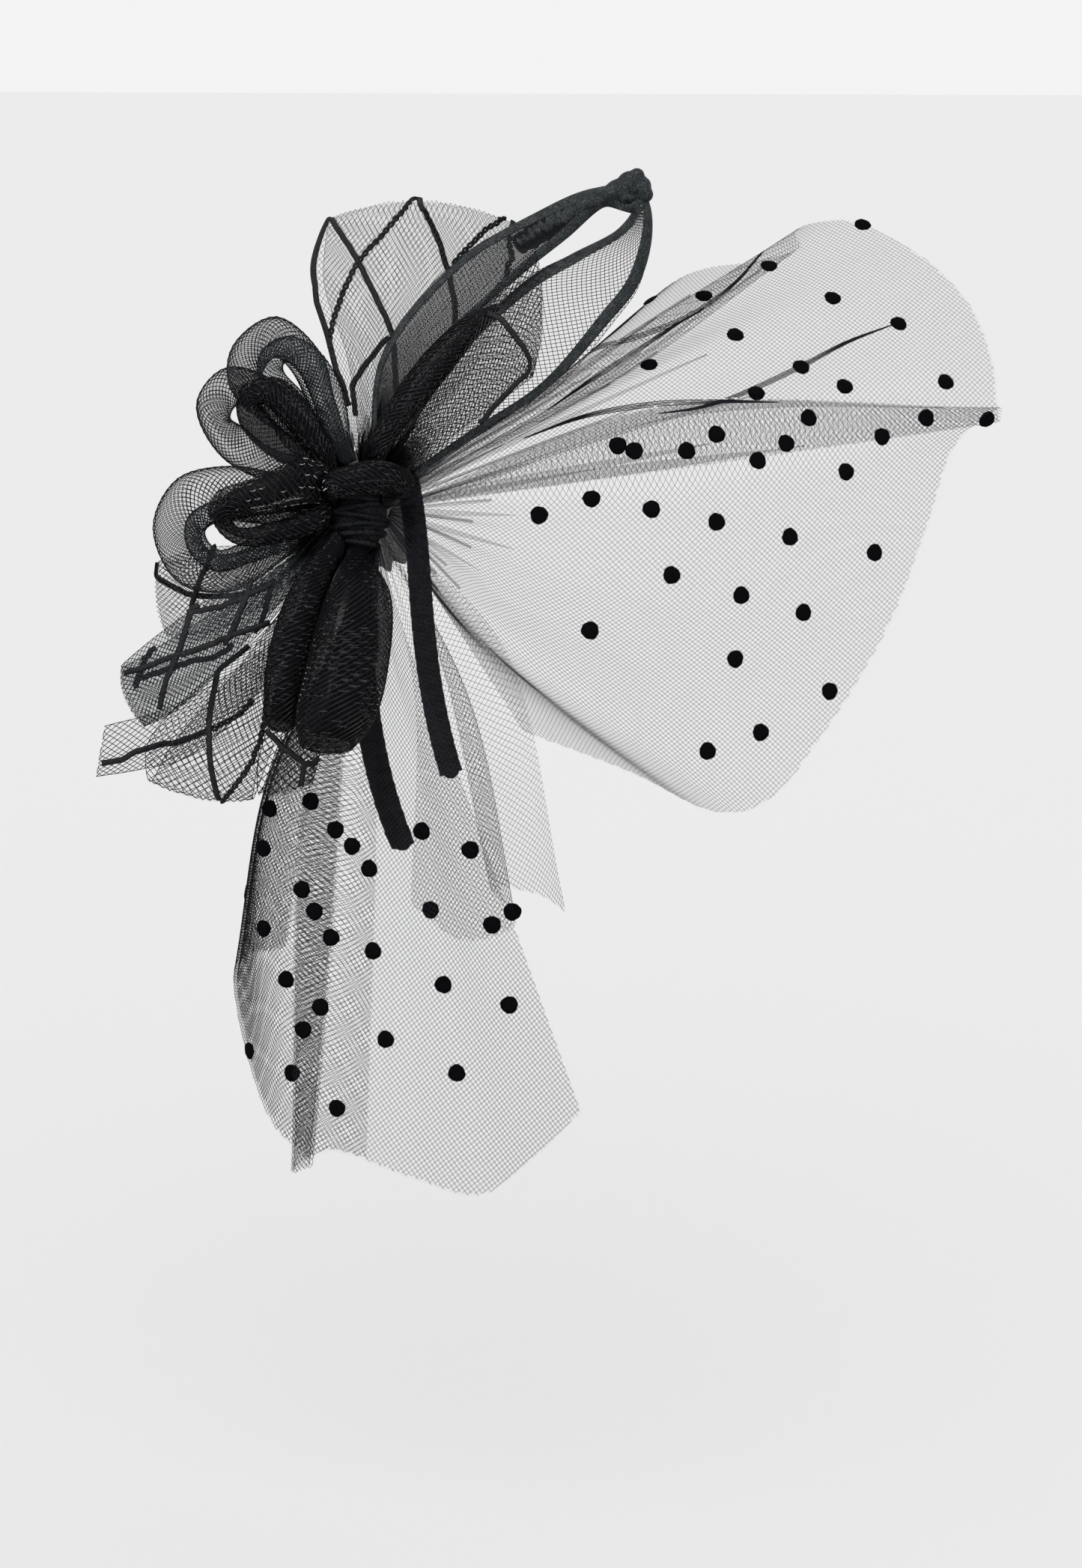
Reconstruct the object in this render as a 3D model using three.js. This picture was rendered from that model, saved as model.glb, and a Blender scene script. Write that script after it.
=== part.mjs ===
// Veil fascinator: a narrow headband with a knot of crin loops and a dotted tulle veil.
// Millimetres. +X is the way the wearer faces, +Y the wearer's left, +Z up.
// The origin is the inner crown point of the headband, where it rests on the head.
import * as THREE from 'three';
import { mergeVertices } from 'three/addons/utils/BufferGeometryUtils.js';

// Headband sizes
const BAND_HALF_SPAN = 66; // inner half width across the head
const BAND_CROWN_DROP = 74; // from the inner crown down to the widest level
const BAND_LEG = 84; // from the widest level down to the tips
const BAND_TIP_HALF_SPAN = 58; // inner half width at the tips
const BAND_SWEEP = 17; // how far the tips come forward of the crown
const BAND_SWEEP_POWER = 3.4; // how late along the leg the sweep comes
const BAND_WIDTH = 9;
const BAND_THICKNESS = 3.5;
const BAND_TIP_ROUNDING = 5;
const BAND_TIP_SHARES = [0, 0.12, 0.3, 0.6]; // rings over the rounding, from the tip inwards
const BAND_TIP_BLUNTNESS = 0.05; // size of the last ring, as a share of the full section
const BAND_FULLNESS = 1.19; // above 1, the section is squarer than an ellipse

// Knot sizes, and where it sits on the wearer's right half of the band
const KNOT_HALF_WIDTH = 12;
const KNOT_HALF_HEIGHT = 19;
const KNOT_HALF_DEPTH = 13;
const KNOT_BAND_ANGLE = 43; // degrees up the arch from its widest level
const KNOT_STANDOFF = 12.5; // knot centre to the seat on the band
const FACE_TURN = 8; // degrees that the flower looks forward
const FACE_TILT = 15; // degrees that the flower looks up

// Cloth
const CRIN_WALL = 1.0;
const VEIL_WALL = 1.0;
const SEAT_HALF_WIDTH = 2.6; // pinched end of a crin strip at the knot
const CLEARANCE = 0.3; // gap between sewn pieces

// Reach of each crin strip, from the knot centre to its far end
const TALL_LOOP_REACH = 130;
const POINTED_LOOP_REACH = 175;
const FRONT_LEAF_REACH = 125;
const UPPER_CURL_REACH = 85;
const LEFT_CURL_REACH = 78;
const RING_CURL_REACH = 85;
const FRONT_TUBE_REACH = 62;
const REAR_LOOP_REACH = 90;
const SIDE_LOOP_REACH = 118;
const LOW_LOOP_REACH = 125;
const CUT_TAIL_REACH = 150;
const HANGING_LEFT_REACH = 95;
const HANGING_RIGHT_REACH = 100;
const COARSE_LOOP_REACH = 122;
const TIP_KNOT_LENGTH = 18;
const TIP_KNOT_WIDTH = 10;
const TIP_KNOT_TURN = -14; // degrees from level
const TIP_KNOT_PLACE = [0.63, 0.75]; // its foot, in shares of the pointed loop's reach

// Length of each panel of the veil, from the gather to its hem
const VEIL_FRONT_REACH = 270;
const VEIL_JABOT_REACH = 180;
const VEIL_BACK_REACH = 280;

// Mesh fineness
const STRIP_STEPS = 3; // rows between two sections of a strip
const STRIP_COLUMNS = 4;
const TUBE_SIDES = 8;
const FAN_STEPS = 2; // columns between two folds of a veil panel
const FAN_ROWS = 8;
const FAN_ROW_POWER = 0.8; // below 1, the rows lie closer towards the hem
const BAND_STEPS = 46;
const BAND_SIDES = 8;

const CRIN = { color: 0x121417, roughness: 0.42, metalness: 0 };
const VEIL = { color: 0x17151b, roughness: 0.7, metalness: 0 };
const VELVET = { color: 0x0c0c0e, roughness: 0.85, metalness: 0 };

// Sections of the crin strips. Places are shares of the strip's reach, seen from the front
// of the flower: [right, up] for the two edges, and depth towards the viewer. The edges are
// left and right as one looks out along the strip. Bow is how far the middle bulges.
// Start and end say where the strip's ends are sewn to the knot: a bearing in degrees,
// counter-clockwise from the viewer's right, and a level as a share of the knot's half depth.
const STRIPS = [
  {
    name: 'tall_lattice_loop', form: 'ribbon', reach: TALL_LOOP_REACH,
    start: { bearing: 84, level: -0.32 }, end: { bearing: 78, level: -0.75 },
    sections: [
      { left: [-0.10, 0.54], right: [0.36, 0.46], depth: -0.06, bow: 0.02 },
      { left: [-0.16, 0.77], right: [0.47, 0.73], depth: -0.06, bow: 0.03 },
      { left: [-0.11, 0.94], right: [0.48, 0.93], depth: -0.13, bow: 0.07 },
      { left: [-0.13, 0.76], right: [0.45, 0.75], depth: -0.22, bow: 0.04 },
      { left: [-0.05, 0.50], right: [0.28, 0.48], depth: -0.19, bow: 0.03 },
    ],
  },
  {
    name: 'pointed_loop', form: 'ribbon', reach: POINTED_LOOP_REACH,
    start: { bearing: 66, level: 0.10 }, end: { bearing: 44, level: -0.30 },
    sections: [
      { left: [0.05, 0.35], right: [0.13, 0.30], depth: 0.02, bow: 0.01 },
      { left: [0.23, 0.58], right: [0.33, 0.50], depth: 0.02, bow: 0.01 },
      { left: [0.42, 0.69], right: [0.48, 0.63], depth: 0.02, bow: 0.01 },
      { left: [0.555, 0.745], right: [0.575, 0.715], depth: 0.01, bow: 0.01 },
      { left: [0.64, 0.745], right: [0.62, 0.71], depth: 0.00, bow: 0.00 },
      { left: [0.67, 0.72], right: [0.645, 0.70], depth: 0.00, bow: 0.01 },
      { left: [0.68, 0.645], right: [0.61, 0.655], depth: -0.01, bow: 0.02 },
      { left: [0.655, 0.525], right: [0.49, 0.595], depth: -0.01, bow: 0.03 },
      { left: [0.595, 0.44], right: [0.385, 0.54], depth: -0.01, bow: 0.02 },
      { left: [0.455, 0.28], right: [0.23, 0.40], depth: -0.01, bow: 0.01 },
      { left: [0.29, 0.18], right: [0.125, 0.24], depth: -0.01, bow: 0.01 },
    ],
  },
  {
    name: 'front_leaf_loop', form: 'ribbon', reach: FRONT_LEAF_REACH,
    start: { bearing: 56, level: 0.60 }, end: { bearing: 36, level: 0.22 },
    sections: [
      { left: [0.14, 0.32], right: [0.27, 0.17], depth: 0.12, bow: 0.02 },
      { left: [0.32, 0.53], right: [0.44, 0.30], depth: 0.16, bow: 0.04 },
      { left: [0.48, 0.74], right: [0.54, 0.40], depth: 0.16, bow: 0.05 },
      { left: [0.58, 0.83], right: [0.57, 0.42], depth: 0.12, bow: 0.03 },
      { left: [0.50, 0.73], right: [0.50, 0.37], depth: 0.08, bow: 0.01 },
      { left: [0.29, 0.50], right: [0.32, 0.24], depth: 0.08, bow: 0.01 },
    ],
  },
  {
    name: 'upper_curl', form: 'tube', reach: UPPER_CURL_REACH,
    start: { bearing: 104, level: 0.02 }, end: { bearing: 120, level: -0.35 },
    sections: [
      { left: [-0.24, 0.49], right: [-0.12, 0.53], depth: -0.02, bow: 0.04 },
      { left: [-0.33, 0.67], right: [-0.19, 0.76], depth: -0.04, bow: 0.05 },
      { left: [-0.41, 0.74], right: [-0.41, 0.94], depth: -0.06, bow: 0.05 },
      { left: [-0.47, 0.68], right: [-0.62, 0.80], depth: -0.08, bow: 0.05 },
      { left: [-0.47, 0.61], right: [-0.64, 0.61], depth: -0.10, bow: 0.05 },
      { left: [-0.40, 0.55], right: [-0.50, 0.45], depth: -0.12, bow: 0.05 },
      { left: [-0.24, 0.42], right: [-0.28, 0.32], depth: -0.11, bow: 0.04 },
    ],
  },
  {
    name: 'left_curl', form: 'tube', reach: LEFT_CURL_REACH,
    start: { bearing: 130, level: 0.10 }, end: { bearing: 148, level: 0.52 },
    sections: [
      { left: [-0.38, 0.32], right: [-0.26, 0.42], depth: 0.02, bow: 0.04 },
      { left: [-0.51, 0.49], right: [-0.46, 0.68], depth: 0.02, bow: 0.05 },
      { left: [-0.64, 0.54], right: [-0.70, 0.74], depth: 0.03, bow: 0.05 },
      { left: [-0.67, 0.47], right: [-0.85, 0.55], depth: 0.06, bow: 0.05 },
      { left: [-0.60, 0.42], right: [-0.73, 0.28], depth: 0.09, bow: 0.05 },
      { left: [-0.46, 0.31], right: [-0.49, 0.14], depth: 0.11, bow: 0.05 },
      { left: [-0.26, 0.24], right: [-0.26, 0.12], depth: 0.10, bow: 0.04 },
    ],
  },
  {
    name: 'ring_curl', form: 'tube', reach: RING_CURL_REACH,
    start: { bearing: 163, level: -0.10 }, end: { bearing: 203, level: -0.42 },
    sections: [
      { left: [-0.33, -0.01], right: [-0.33, 0.15], depth: -0.01, bow: 0.04 },
      { left: [-0.62, -0.05], right: [-0.61, 0.21], depth: -0.01, bow: 0.05 },
      { left: [-0.72, -0.07], right: [-0.88, 0.15], depth: -0.02, bow: 0.05 },
      { left: [-0.765, -0.13], right: [-1.0, -0.08], depth: -0.03, bow: 0.05 },
      { left: [-0.72, -0.20], right: [-0.88, -0.35], depth: -0.05, bow: 0.05 },
      { left: [-0.64, -0.21], right: [-0.61, -0.39], depth: -0.07, bow: 0.05 },
      { left: [-0.40, -0.12], right: [-0.35, -0.22], depth: -0.08, bow: 0.04 },
    ],
  },
  {
    name: 'front_tube_loop', form: 'tube', reach: FRONT_TUBE_REACH,
    start: { bearing: 160, level: 0.80 }, end: { bearing: 184, level: 0.35 },
    sections: [
      { left: [-0.32, 0.00], right: [-0.32, 0.31], depth: 0.29, bow: 0.05 },
      { left: [-0.61, -0.05], right: [-0.61, 0.19], depth: 0.31, bow: 0.05 },
      { left: [-0.95, -0.10], right: [-0.92, 0.08], depth: 0.21, bow: 0.04 },
      { left: [-0.71, -0.21], right: [-0.74, -0.02], depth: 0.09, bow: 0.04 },
      { left: [-0.39, -0.15], right: [-0.39, 0.05], depth: 0.09, bow: 0.04 },
    ],
  },
  {
    name: 'rear_loop', form: 'ribbon', reach: REAR_LOOP_REACH,
    start: { bearing: 180, level: -0.66 }, end: { bearing: 205, level: -0.82 },
    sections: [
      { left: [-0.36, -0.40], right: [-0.40, -0.13], depth: -0.17, bow: 0.02 },
      { left: [-0.71, -0.58], right: [-0.73, -0.16], depth: -0.20, bow: 0.03 },
      { left: [-0.92, -0.56], right: [-0.96, -0.22], depth: -0.28, bow: 0.03 },
      { left: [-0.69, -0.53], right: [-0.69, -0.18], depth: -0.37, bow: 0.03 },
      { left: [-0.33, -0.31], right: [-0.36, -0.13], depth: -0.30, bow: 0.02 },
    ],
  },
  {
    name: 'side_lattice_loop', form: 'ribbon', reach: SIDE_LOOP_REACH,
    start: { bearing: 213, level: 0.12 }, end: { bearing: 219, level: -0.25 },
    sections: [
      { left: [-0.23, -0.28], right: [-0.23, -0.17], depth: 0.03, bow: 0.01 },
      { left: [-0.47, -0.53], right: [-0.51, -0.31], depth: 0.04, bow: 0.02 },
      { left: [-0.66, -0.69], right: [-0.71, -0.45], depth: 0.04, bow: 0.02 },
      { left: [-0.76, -0.73], right: [-0.83, -0.55], depth: 0.00, bow: 0.03 },
      { left: [-0.64, -0.66], right: [-0.68, -0.46], depth: -0.05, bow: 0.02 },
      { left: [-0.36, -0.39], right: [-0.37, -0.26], depth: -0.04, bow: 0.01 },
    ],
  },
  {
    name: 'low_lattice_loop', form: 'ribbon', reach: LOW_LOOP_REACH,
    start: { bearing: 236, level: -0.14 }, end: { bearing: 238, level: -0.64 },
    sections: [
      { left: [-0.17, -0.40], right: [-0.30, -0.40], depth: -0.07, bow: 0.01 },
      { left: [-0.33, -0.68], right: [-0.54, -0.62], depth: -0.07, bow: 0.02 },
      { left: [-0.36, -0.86], right: [-0.67, -0.78], depth: -0.07, bow: 0.03 },
      { left: [-0.38, -0.95], right: [-0.67, -0.90], depth: -0.14, bow: 0.03 },
      { left: [-0.34, -0.83], right: [-0.61, -0.78], depth: -0.21, bow: 0.03 },
      { left: [-0.24, -0.56], right: [-0.40, -0.53], depth: -0.18, bow: 0.02 },
    ],
  },
  {
    name: 'cut_tail', form: 'ribbon', reach: CUT_TAIL_REACH,
    start: { bearing: 226, level: -0.50 },
    sections: [
      { left: [-0.24, -0.44], right: [-0.21, -0.33], depth: -0.08, bow: 0.01 },
      { left: [-0.47, -0.67], right: [-0.41, -0.49], depth: -0.09, bow: 0.01 },
      { left: [-0.61, -0.71], right: [-0.57, -0.57], depth: -0.09, bow: 0.01 },
      { left: [-0.73, -0.73], right: [-0.71, -0.61], depth: -0.07, bow: 0.01 },
    ],
  },
  {
    name: 'hanging_tube_left', form: 'tube', reach: HANGING_LEFT_REACH,
    start: { bearing: 238, level: 0.72 }, end: { bearing: 244, level: 0.34 },
    sections: [
      { left: [-0.13, -0.36], right: [-0.28, -0.34], depth: 0.14, bow: 0.03 },
      { left: [-0.21, -0.65], right: [-0.38, -0.63], depth: 0.15, bow: 0.03 },
      { left: [-0.26, -0.86], right: [-0.40, -0.84], depth: 0.14, bow: 0.03 },
      { left: [-0.28, -0.95], right: [-0.39, -0.93], depth: 0.10, bow: 0.03 },
      { left: [-0.23, -0.82], right: [-0.36, -0.80], depth: 0.06, bow: 0.02 },
      { left: [-0.14, -0.48], right: [-0.25, -0.46], depth: 0.06, bow: 0.02 },
    ],
  },
  {
    name: 'hanging_tube_right', form: 'tube', reach: HANGING_RIGHT_REACH,
    start: { bearing: 268, level: 0.66 }, end: { bearing: 272, level: 0.26 },
    sections: [
      { left: [0.14, -0.37], right: [-0.12, -0.37], depth: 0.21, bow: 0.05 },
      { left: [0.13, -0.67], right: [-0.20, -0.66], depth: 0.24, bow: 0.05 },
      { left: [0.07, -0.88], right: [-0.24, -0.86], depth: 0.23, bow: 0.05 },
      { left: [-0.02, -0.98], right: [-0.22, -0.97], depth: 0.17, bow: 0.04 },
      { left: [0.03, -0.84], right: [-0.14, -0.84], depth: 0.09, bow: 0.03 },
      { left: [0.08, -0.56], right: [-0.08, -0.56], depth: 0.07, bow: 0.03 },
    ],
  },
  {
    name: 'coarse_loop', form: 'ribbon', reach: COARSE_LOOP_REACH,
    start: { bearing: 256, level: 0.00 }, end: { bearing: 257, level: -0.30 },
    sections: [
      { left: [-0.09, -0.41], right: [-0.17, -0.41], depth: 0.00, bow: 0.01 },
      { left: [-0.12, -0.69], right: [-0.29, -0.69], depth: 0.00, bow: 0.01 },
      { left: [-0.14, -0.85], right: [-0.34, -0.85], depth: 0.00, bow: 0.02 },
      { left: [-0.16, -0.92], right: [-0.34, -0.96], depth: -0.02, bow: 0.02 },
      { left: [-0.13, -0.79], right: [-0.28, -0.80], depth: -0.04, bow: 0.01 },
      { left: [-0.09, -0.41], right: [-0.15, -0.41], depth: -0.03, bow: 0.01 },
    ],
  },
];

// Panels of the veil. Each row is one rib from the gather to the hem, in shares of the
// panel's reach: [right, up, towards the viewer]. Two ribs that step back make a pleat.
// A waist, where a rib has one, is where it clears the headband.
// The gather runs along the knot between two bearings and two levels, as on a strip.
const PANELS = [
  {
    name: 'veil_front', reach: VEIL_FRONT_REACH,
    gather: { bearings: [38, -28], levels: [-0.66, 0.58] },
    ribs: [
      { bend: [0.24, 0.175, -0.14], hem: [0.40, 0.31, -0.24] },
      { bend: [0.28, 0.20, -0.14], hem: [0.515, 0.41, -0.29] },
      { bend: [0.35, 0.225, -0.15], hem: [0.63, 0.44, -0.325] },
      { bend: [0.40, 0.22, -0.155], hem: [0.70, 0.465, -0.335] },
      { bend: [0.38, 0.265, -0.13], hem: [0.69, 0.485, -0.315] },
      { bend: [0.44, 0.25, -0.11], hem: [0.77, 0.505, -0.33] },
      { bend: [0.46, 0.23, -0.09], hem: [0.88, 0.45, -0.30] },
      { bend: [0.47, 0.18, -0.07], hem: [0.96, 0.365, -0.26] },
      { bend: [0.47, 0.13, -0.045], hem: [0.995, 0.26, -0.21] },
      { bend: [0.47, 0.06, -0.02], hem: [1.00, 0.155, -0.17] },
      { bend: [0.45, 0.155, 0.005], hem: [1.00, 0.175, -0.15] },
      { bend: [0.46, 0.03, 0.03], hem: [0.925, 0.115, -0.13] },
      { bend: [0.42, -0.05, 0.045], hem: [0.88, -0.01, -0.115] },
      { bend: [0.37, -0.13, 0.055], hem: [0.82, -0.165, -0.10] },
      { bend: [0.31, -0.19, 0.065], hem: [0.72, -0.33, -0.07] },
      { bend: [0.26, -0.22, 0.065], hem: [0.615, -0.45, -0.035] },
      { bend: [0.23, -0.23, 0.065], hem: [0.54, -0.46, -0.01] },
      { bend: [0.18, -0.20, 0.06], hem: [0.41, -0.40, 0.03] },
      { bend: [0.14, -0.17, 0.055], hem: [0.25, -0.34, 0.06] },
    ],
  },
  {
    name: 'veil_jabot', reach: VEIL_JABOT_REACH,
    gather: { bearings: [-40, -56], levels: [0.80, 0.25] },
    ribs: [
      { bend: [0.33, -0.32, 0.17], hem: [0.47, -0.92, 0.06] },
      { bend: [0.27, -0.34, 0.20], hem: [0.42, -0.88, 0.10] },
      { bend: [0.19, -0.36, 0.18], hem: [0.30, -0.86, 0.12] },
      { bend: [0.25, -0.42, 0.15], hem: [0.36, -0.94, 0.08] },
      { bend: [0.20, -0.44, 0.12], hem: [0.24, -0.98, 0.08] },
      { bend: [0.13, -0.44, 0.09], hem: [0.12, -0.90, 0.05] },
    ],
  },
  {
    name: 'veil_back', reach: VEIL_BACK_REACH,
    gather: { bearings: [-60, -78], levels: [0.30, 0.05] },
    ribs: [
      { waist: [0.07, -0.19, 0.01], bend: [0.15, -0.40, 0.02], hem: [0.325, -0.885, -0.02] },
      { waist: [0.055, -0.19, 0.01], bend: [0.12, -0.42, 0.015], hem: [0.26, -0.95, -0.03] },
      { waist: [0.04, -0.19, 0.005], bend: [0.09, -0.42, 0.005], hem: [0.175, -1.01, -0.035] },
      { waist: [0.025, -0.19, 0.0], bend: [0.05, -0.42, -0.01], hem: [0.07, -0.985, -0.05] },
      { waist: [0.01, -0.19, -0.005], bend: [-0.01, -0.41, -0.03], hem: [-0.055, -0.95, -0.08] },
      { waist: [-0.01, -0.19, -0.01], bend: [-0.085, -0.40, -0.05], hem: [-0.11, -0.985, -0.09] },
      { waist: [-0.015, -0.19, -0.015], bend: [-0.03, -0.40, -0.065], hem: [-0.08, -0.975, -0.11] },
      { waist: [-0.025, -0.19, -0.018], bend: [-0.10, -0.40, -0.08], hem: [-0.14, -0.92, -0.14] },
      { waist: [-0.033, -0.19, -0.02], bend: [-0.145, -0.41, -0.10], hem: [-0.19, -0.80, -0.18] },
      { waist: [-0.037, -0.19, -0.025], bend: [-0.15, -0.42, -0.14], hem: [-0.205, -0.68, -0.25] },
      { waist: [-0.037, -0.19, -0.035], bend: [-0.09, -0.42, -0.19], hem: [-0.14, -0.66, -0.33] },
    ],
  },
];

const degrees = (angle) => THREE.MathUtils.degToRad(angle);

// Closed solids

/** A mesh from points and triangles, turned so that its faces point out. */
function closedMesh(name, points, triangles, finish) {
  let volume = 0;
  for (const [a, b, c] of triangles) {
    volume += points[a].dot(points[b].clone().cross(points[c]));
  }
  const order = volume > 0 ? triangles : triangles.map(([a, b, c]) => [a, c, b]);
  const geometry = new THREE.BufferGeometry();
  geometry.setAttribute('position', new THREE.Float32BufferAttribute(
    points.flatMap((point) => point.toArray()), 3));
  geometry.setIndex(order.flat());
  const merged = mergeVertices(geometry, 1e-3);
  merged.computeVertexNormals();
  const mesh = new THREE.Mesh(merged, new THREE.MeshStandardMaterial(finish));
  mesh.name = name;
  return mesh;
}

/** Two triangles over the cell between the corners a, b, c and d. */
function cell(triangles, a, b, c, d) {
  triangles.push([a, b, c], [a, c, d]);
}

/** Unit normal of a grid of points at one row and column. */
function gridNormal(grid, row, column) {
  const rows = grid.length - 1;
  const columns = grid[0].length - 1;
  const along = grid[Math.min(row + 1, rows)][column].clone()
    .sub(grid[Math.max(row - 1, 0)][column]);
  const across = grid[row][Math.min(column + 1, columns)].clone()
    .sub(grid[row][Math.max(column - 1, 0)]);
  return across.cross(along).normalize();
}

/** A cloth wall about a grid of points. */
function clothWall(name, grid, wall, finish) {
  const rows = grid.length;
  const columns = grid[0].length;
  const points = [];
  for (const side of [0.5, -0.5]) {
    for (let row = 0; row < rows; row += 1) {
      for (let column = 0; column < columns; column += 1) {
        const normal = gridNormal(grid, row, column);
        points.push(grid[row][column].clone().addScaledVector(normal, side * wall));
      }
    }
  }
  const back = rows * columns;
  const at = (row, column) => row * columns + column;
  const triangles = [];
  for (let row = 0; row < rows - 1; row += 1) {
    for (let column = 0; column < columns - 1; column += 1) {
      const corners = [at(row, column), at(row, column + 1),
        at(row + 1, column + 1), at(row + 1, column)];
      cell(triangles, ...corners);
      cell(triangles, ...corners.map((corner) => corner + back).reverse());
    }
  }
  const rim = [];
  for (let column = 0; column < columns - 1; column += 1) rim.push(at(0, column));
  for (let row = 0; row < rows - 1; row += 1) rim.push(at(row, columns - 1));
  for (let column = columns - 1; column > 0; column -= 1) rim.push(at(rows - 1, column));
  for (let row = rows - 1; row > 0; row -= 1) rim.push(at(row, 0));
  rim.forEach((here, index) => {
    const next = rim[(index + 1) % rim.length];
    cell(triangles, next, here, here + back, next + back);
  });
  return closedMesh(name, points, triangles, finish);
}

/** A hollow tube between two grids of closed rings, open at both ends. */
function tubeWall(name, outer, inner, finish) {
  const rows = outer.length;
  const sides = outer[0].length;
  const points = [...outer.flat(), ...inner.flat()];
  const back = rows * sides;
  const at = (row, side) => row * sides + (side % sides);
  const triangles = [];
  for (let side = 0; side < sides; side += 1) {
    for (let row = 0; row < rows - 1; row += 1) {
      const corners = [at(row, side), at(row, side + 1),
        at(row + 1, side + 1), at(row + 1, side)];
      cell(triangles, ...corners);
      cell(triangles, ...corners.map((corner) => corner + back).reverse());
    }
    const last = rows - 1;
    cell(triangles, at(0, side + 1), at(0, side), at(0, side) + back, at(0, side + 1) + back);
    cell(triangles, at(last, side), at(last, side + 1),
      at(last, side + 1) + back, at(last, side) + back);
  }
  return closedMesh(name, points, triangles, finish);
}

// Headband

/** Inner face, outward direction and forward sweep at a place from tip (-1) to tip (1). */
function bandFrame(place) {
  const legShare = BAND_LEG / (BAND_LEG + BAND_CROWN_DROP * Math.PI / 2);
  const side = Math.sign(place) || 1;
  const distance = Math.abs(place);
  let y;
  let z;
  let outward;
  if (distance < 1 - legShare) {
    const angle = (Math.PI / 2) * (1 - distance / (1 - legShare));
    y = BAND_HALF_SPAN * Math.cos(angle);
    z = BAND_CROWN_DROP * (Math.sin(angle) - 1);
    outward = new THREE.Vector3(0, Math.cos(angle) / BAND_HALF_SPAN,
      Math.sin(angle) / BAND_CROWN_DROP).normalize();
  } else {
    const down = (distance - 1 + legShare) / legShare;
    const inset = BAND_HALF_SPAN - BAND_TIP_HALF_SPAN;
    y = BAND_HALF_SPAN - inset * down * down;
    z = -BAND_CROWN_DROP - BAND_LEG * down;
    outward = new THREE.Vector3(0, BAND_LEG, -2 * inset * down).normalize();
  }
  outward.y *= side;
  const depth = -z / (BAND_CROWN_DROP + BAND_LEG);
  const inner = new THREE.Vector3(BAND_SWEEP * depth ** BAND_SWEEP_POWER, side * y, z);
  return { inner, outward };
}

/** The band as one solid swept from tip to tip, with rounded tips. */
function headband() {
  const halfLength = BAND_LEG + BAND_CROWN_DROP * Math.PI / 2;
  const tip = 1 - BAND_TIP_ROUNDING / halfLength;
  const places = BAND_TIP_SHARES.map((share) => -1 + (1 - tip) * share);
  for (let step = 0; step <= BAND_STEPS; step += 1) {
    places.push(-tip + (2 * tip * step) / BAND_STEPS);
  }
  places.push(...BAND_TIP_SHARES.map((share) => 1 - (1 - tip) * share).reverse());
  const points = [];
  for (const place of places) {
    const { inner, outward } = bandFrame(place);
    const past = Math.max(0, Math.abs(place) - tip) / (1 - tip);
    const round = Math.max(BAND_TIP_BLUNTNESS, Math.sqrt(1 - past * past));
    const nudge = 0.002;
    const along = bandFrame(Math.min(1, place + nudge)).inner
      .sub(bandFrame(Math.max(-1, place - nudge)).inner).normalize();
    const across = outward.clone().cross(along).normalize();
    const centre = inner.addScaledVector(outward, BAND_THICKNESS / 2);
    for (let side = 0; side < BAND_SIDES; side += 1) {
      const angle = (2 * Math.PI * (side + 0.5)) / BAND_SIDES;
      const wide = Math.min(1, Math.abs(Math.cos(angle)) * BAND_FULLNESS) * round;
      const high = Math.min(1, Math.abs(Math.sin(angle)) * BAND_FULLNESS) * round;
      points.push(centre.clone()
        .addScaledVector(across, Math.sign(Math.cos(angle)) * wide * (BAND_WIDTH / 2))
        .addScaledVector(outward, Math.sign(Math.sin(angle)) * high * (BAND_THICKNESS / 2)));
    }
  }
  const rings = places.length;
  const triangles = [];
  for (let side = 0; side < BAND_SIDES; side += 1) {
    const next = (side + 1) % BAND_SIDES;
    for (let ring = 0; ring < rings - 1; ring += 1) {
      const here = ring * BAND_SIDES;
      cell(triangles, here + side, here + next, here + BAND_SIDES + next, here + BAND_SIDES + side);
    }
    if (side > 0 && side < BAND_SIDES - 1) {
      const last = (rings - 1) * BAND_SIDES;
      triangles.push([0, side + 1, side], [last, last + side, last + side + 1]);
    }
  }
  return closedMesh('headband', points, triangles, VELVET);
}

// Flower frame: x to the viewer's right, y up, z towards the viewer, origin at the knot centre

/** Group that holds the flower and the veil, placed on the band and turned to the viewer. */
function flowerGroup() {
  const legShare = BAND_LEG / (BAND_LEG + BAND_CROWN_DROP * Math.PI / 2);
  const place = -(1 - KNOT_BAND_ANGLE / 90) * (1 - legShare);
  const { inner, outward } = bandFrame(place);
  const group = new THREE.Group();
  group.position.copy(inner)
    .addScaledVector(outward, BAND_THICKNESS + CLEARANCE + KNOT_STANDOFF);
  group.rotation.set(degrees(90 - FACE_TILT), 0, degrees(FACE_TURN), 'ZXY');
  group.userData.seat = outward;
  return group;
}

/** The padded knot, flat where it is sewn to the band. */
function centreKnot(seat) {
  const shape = new THREE.SphereGeometry(1, 16, 12);
  shape.deleteAttribute('normal');
  shape.deleteAttribute('uv');
  shape.scale(KNOT_HALF_WIDTH, KNOT_HALF_HEIGHT, KNOT_HALF_DEPTH);
  const position = shape.attributes.position;
  const point = new THREE.Vector3();
  for (let index = 0; index < position.count; index += 1) {
    point.fromBufferAttribute(position, index);
    const below = -KNOT_STANDOFF - point.dot(seat);
    if (below > 0) point.addScaledVector(seat, below);
    position.setXYZ(index, point.x, point.y, point.z);
  }
  const merged = mergeVertices(shape, 1e-3);
  merged.computeVertexNormals();
  const mesh = new THREE.Mesh(merged, new THREE.MeshStandardMaterial(CRIN));
  mesh.name = 'centre_knot';
  return mesh;
}

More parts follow.
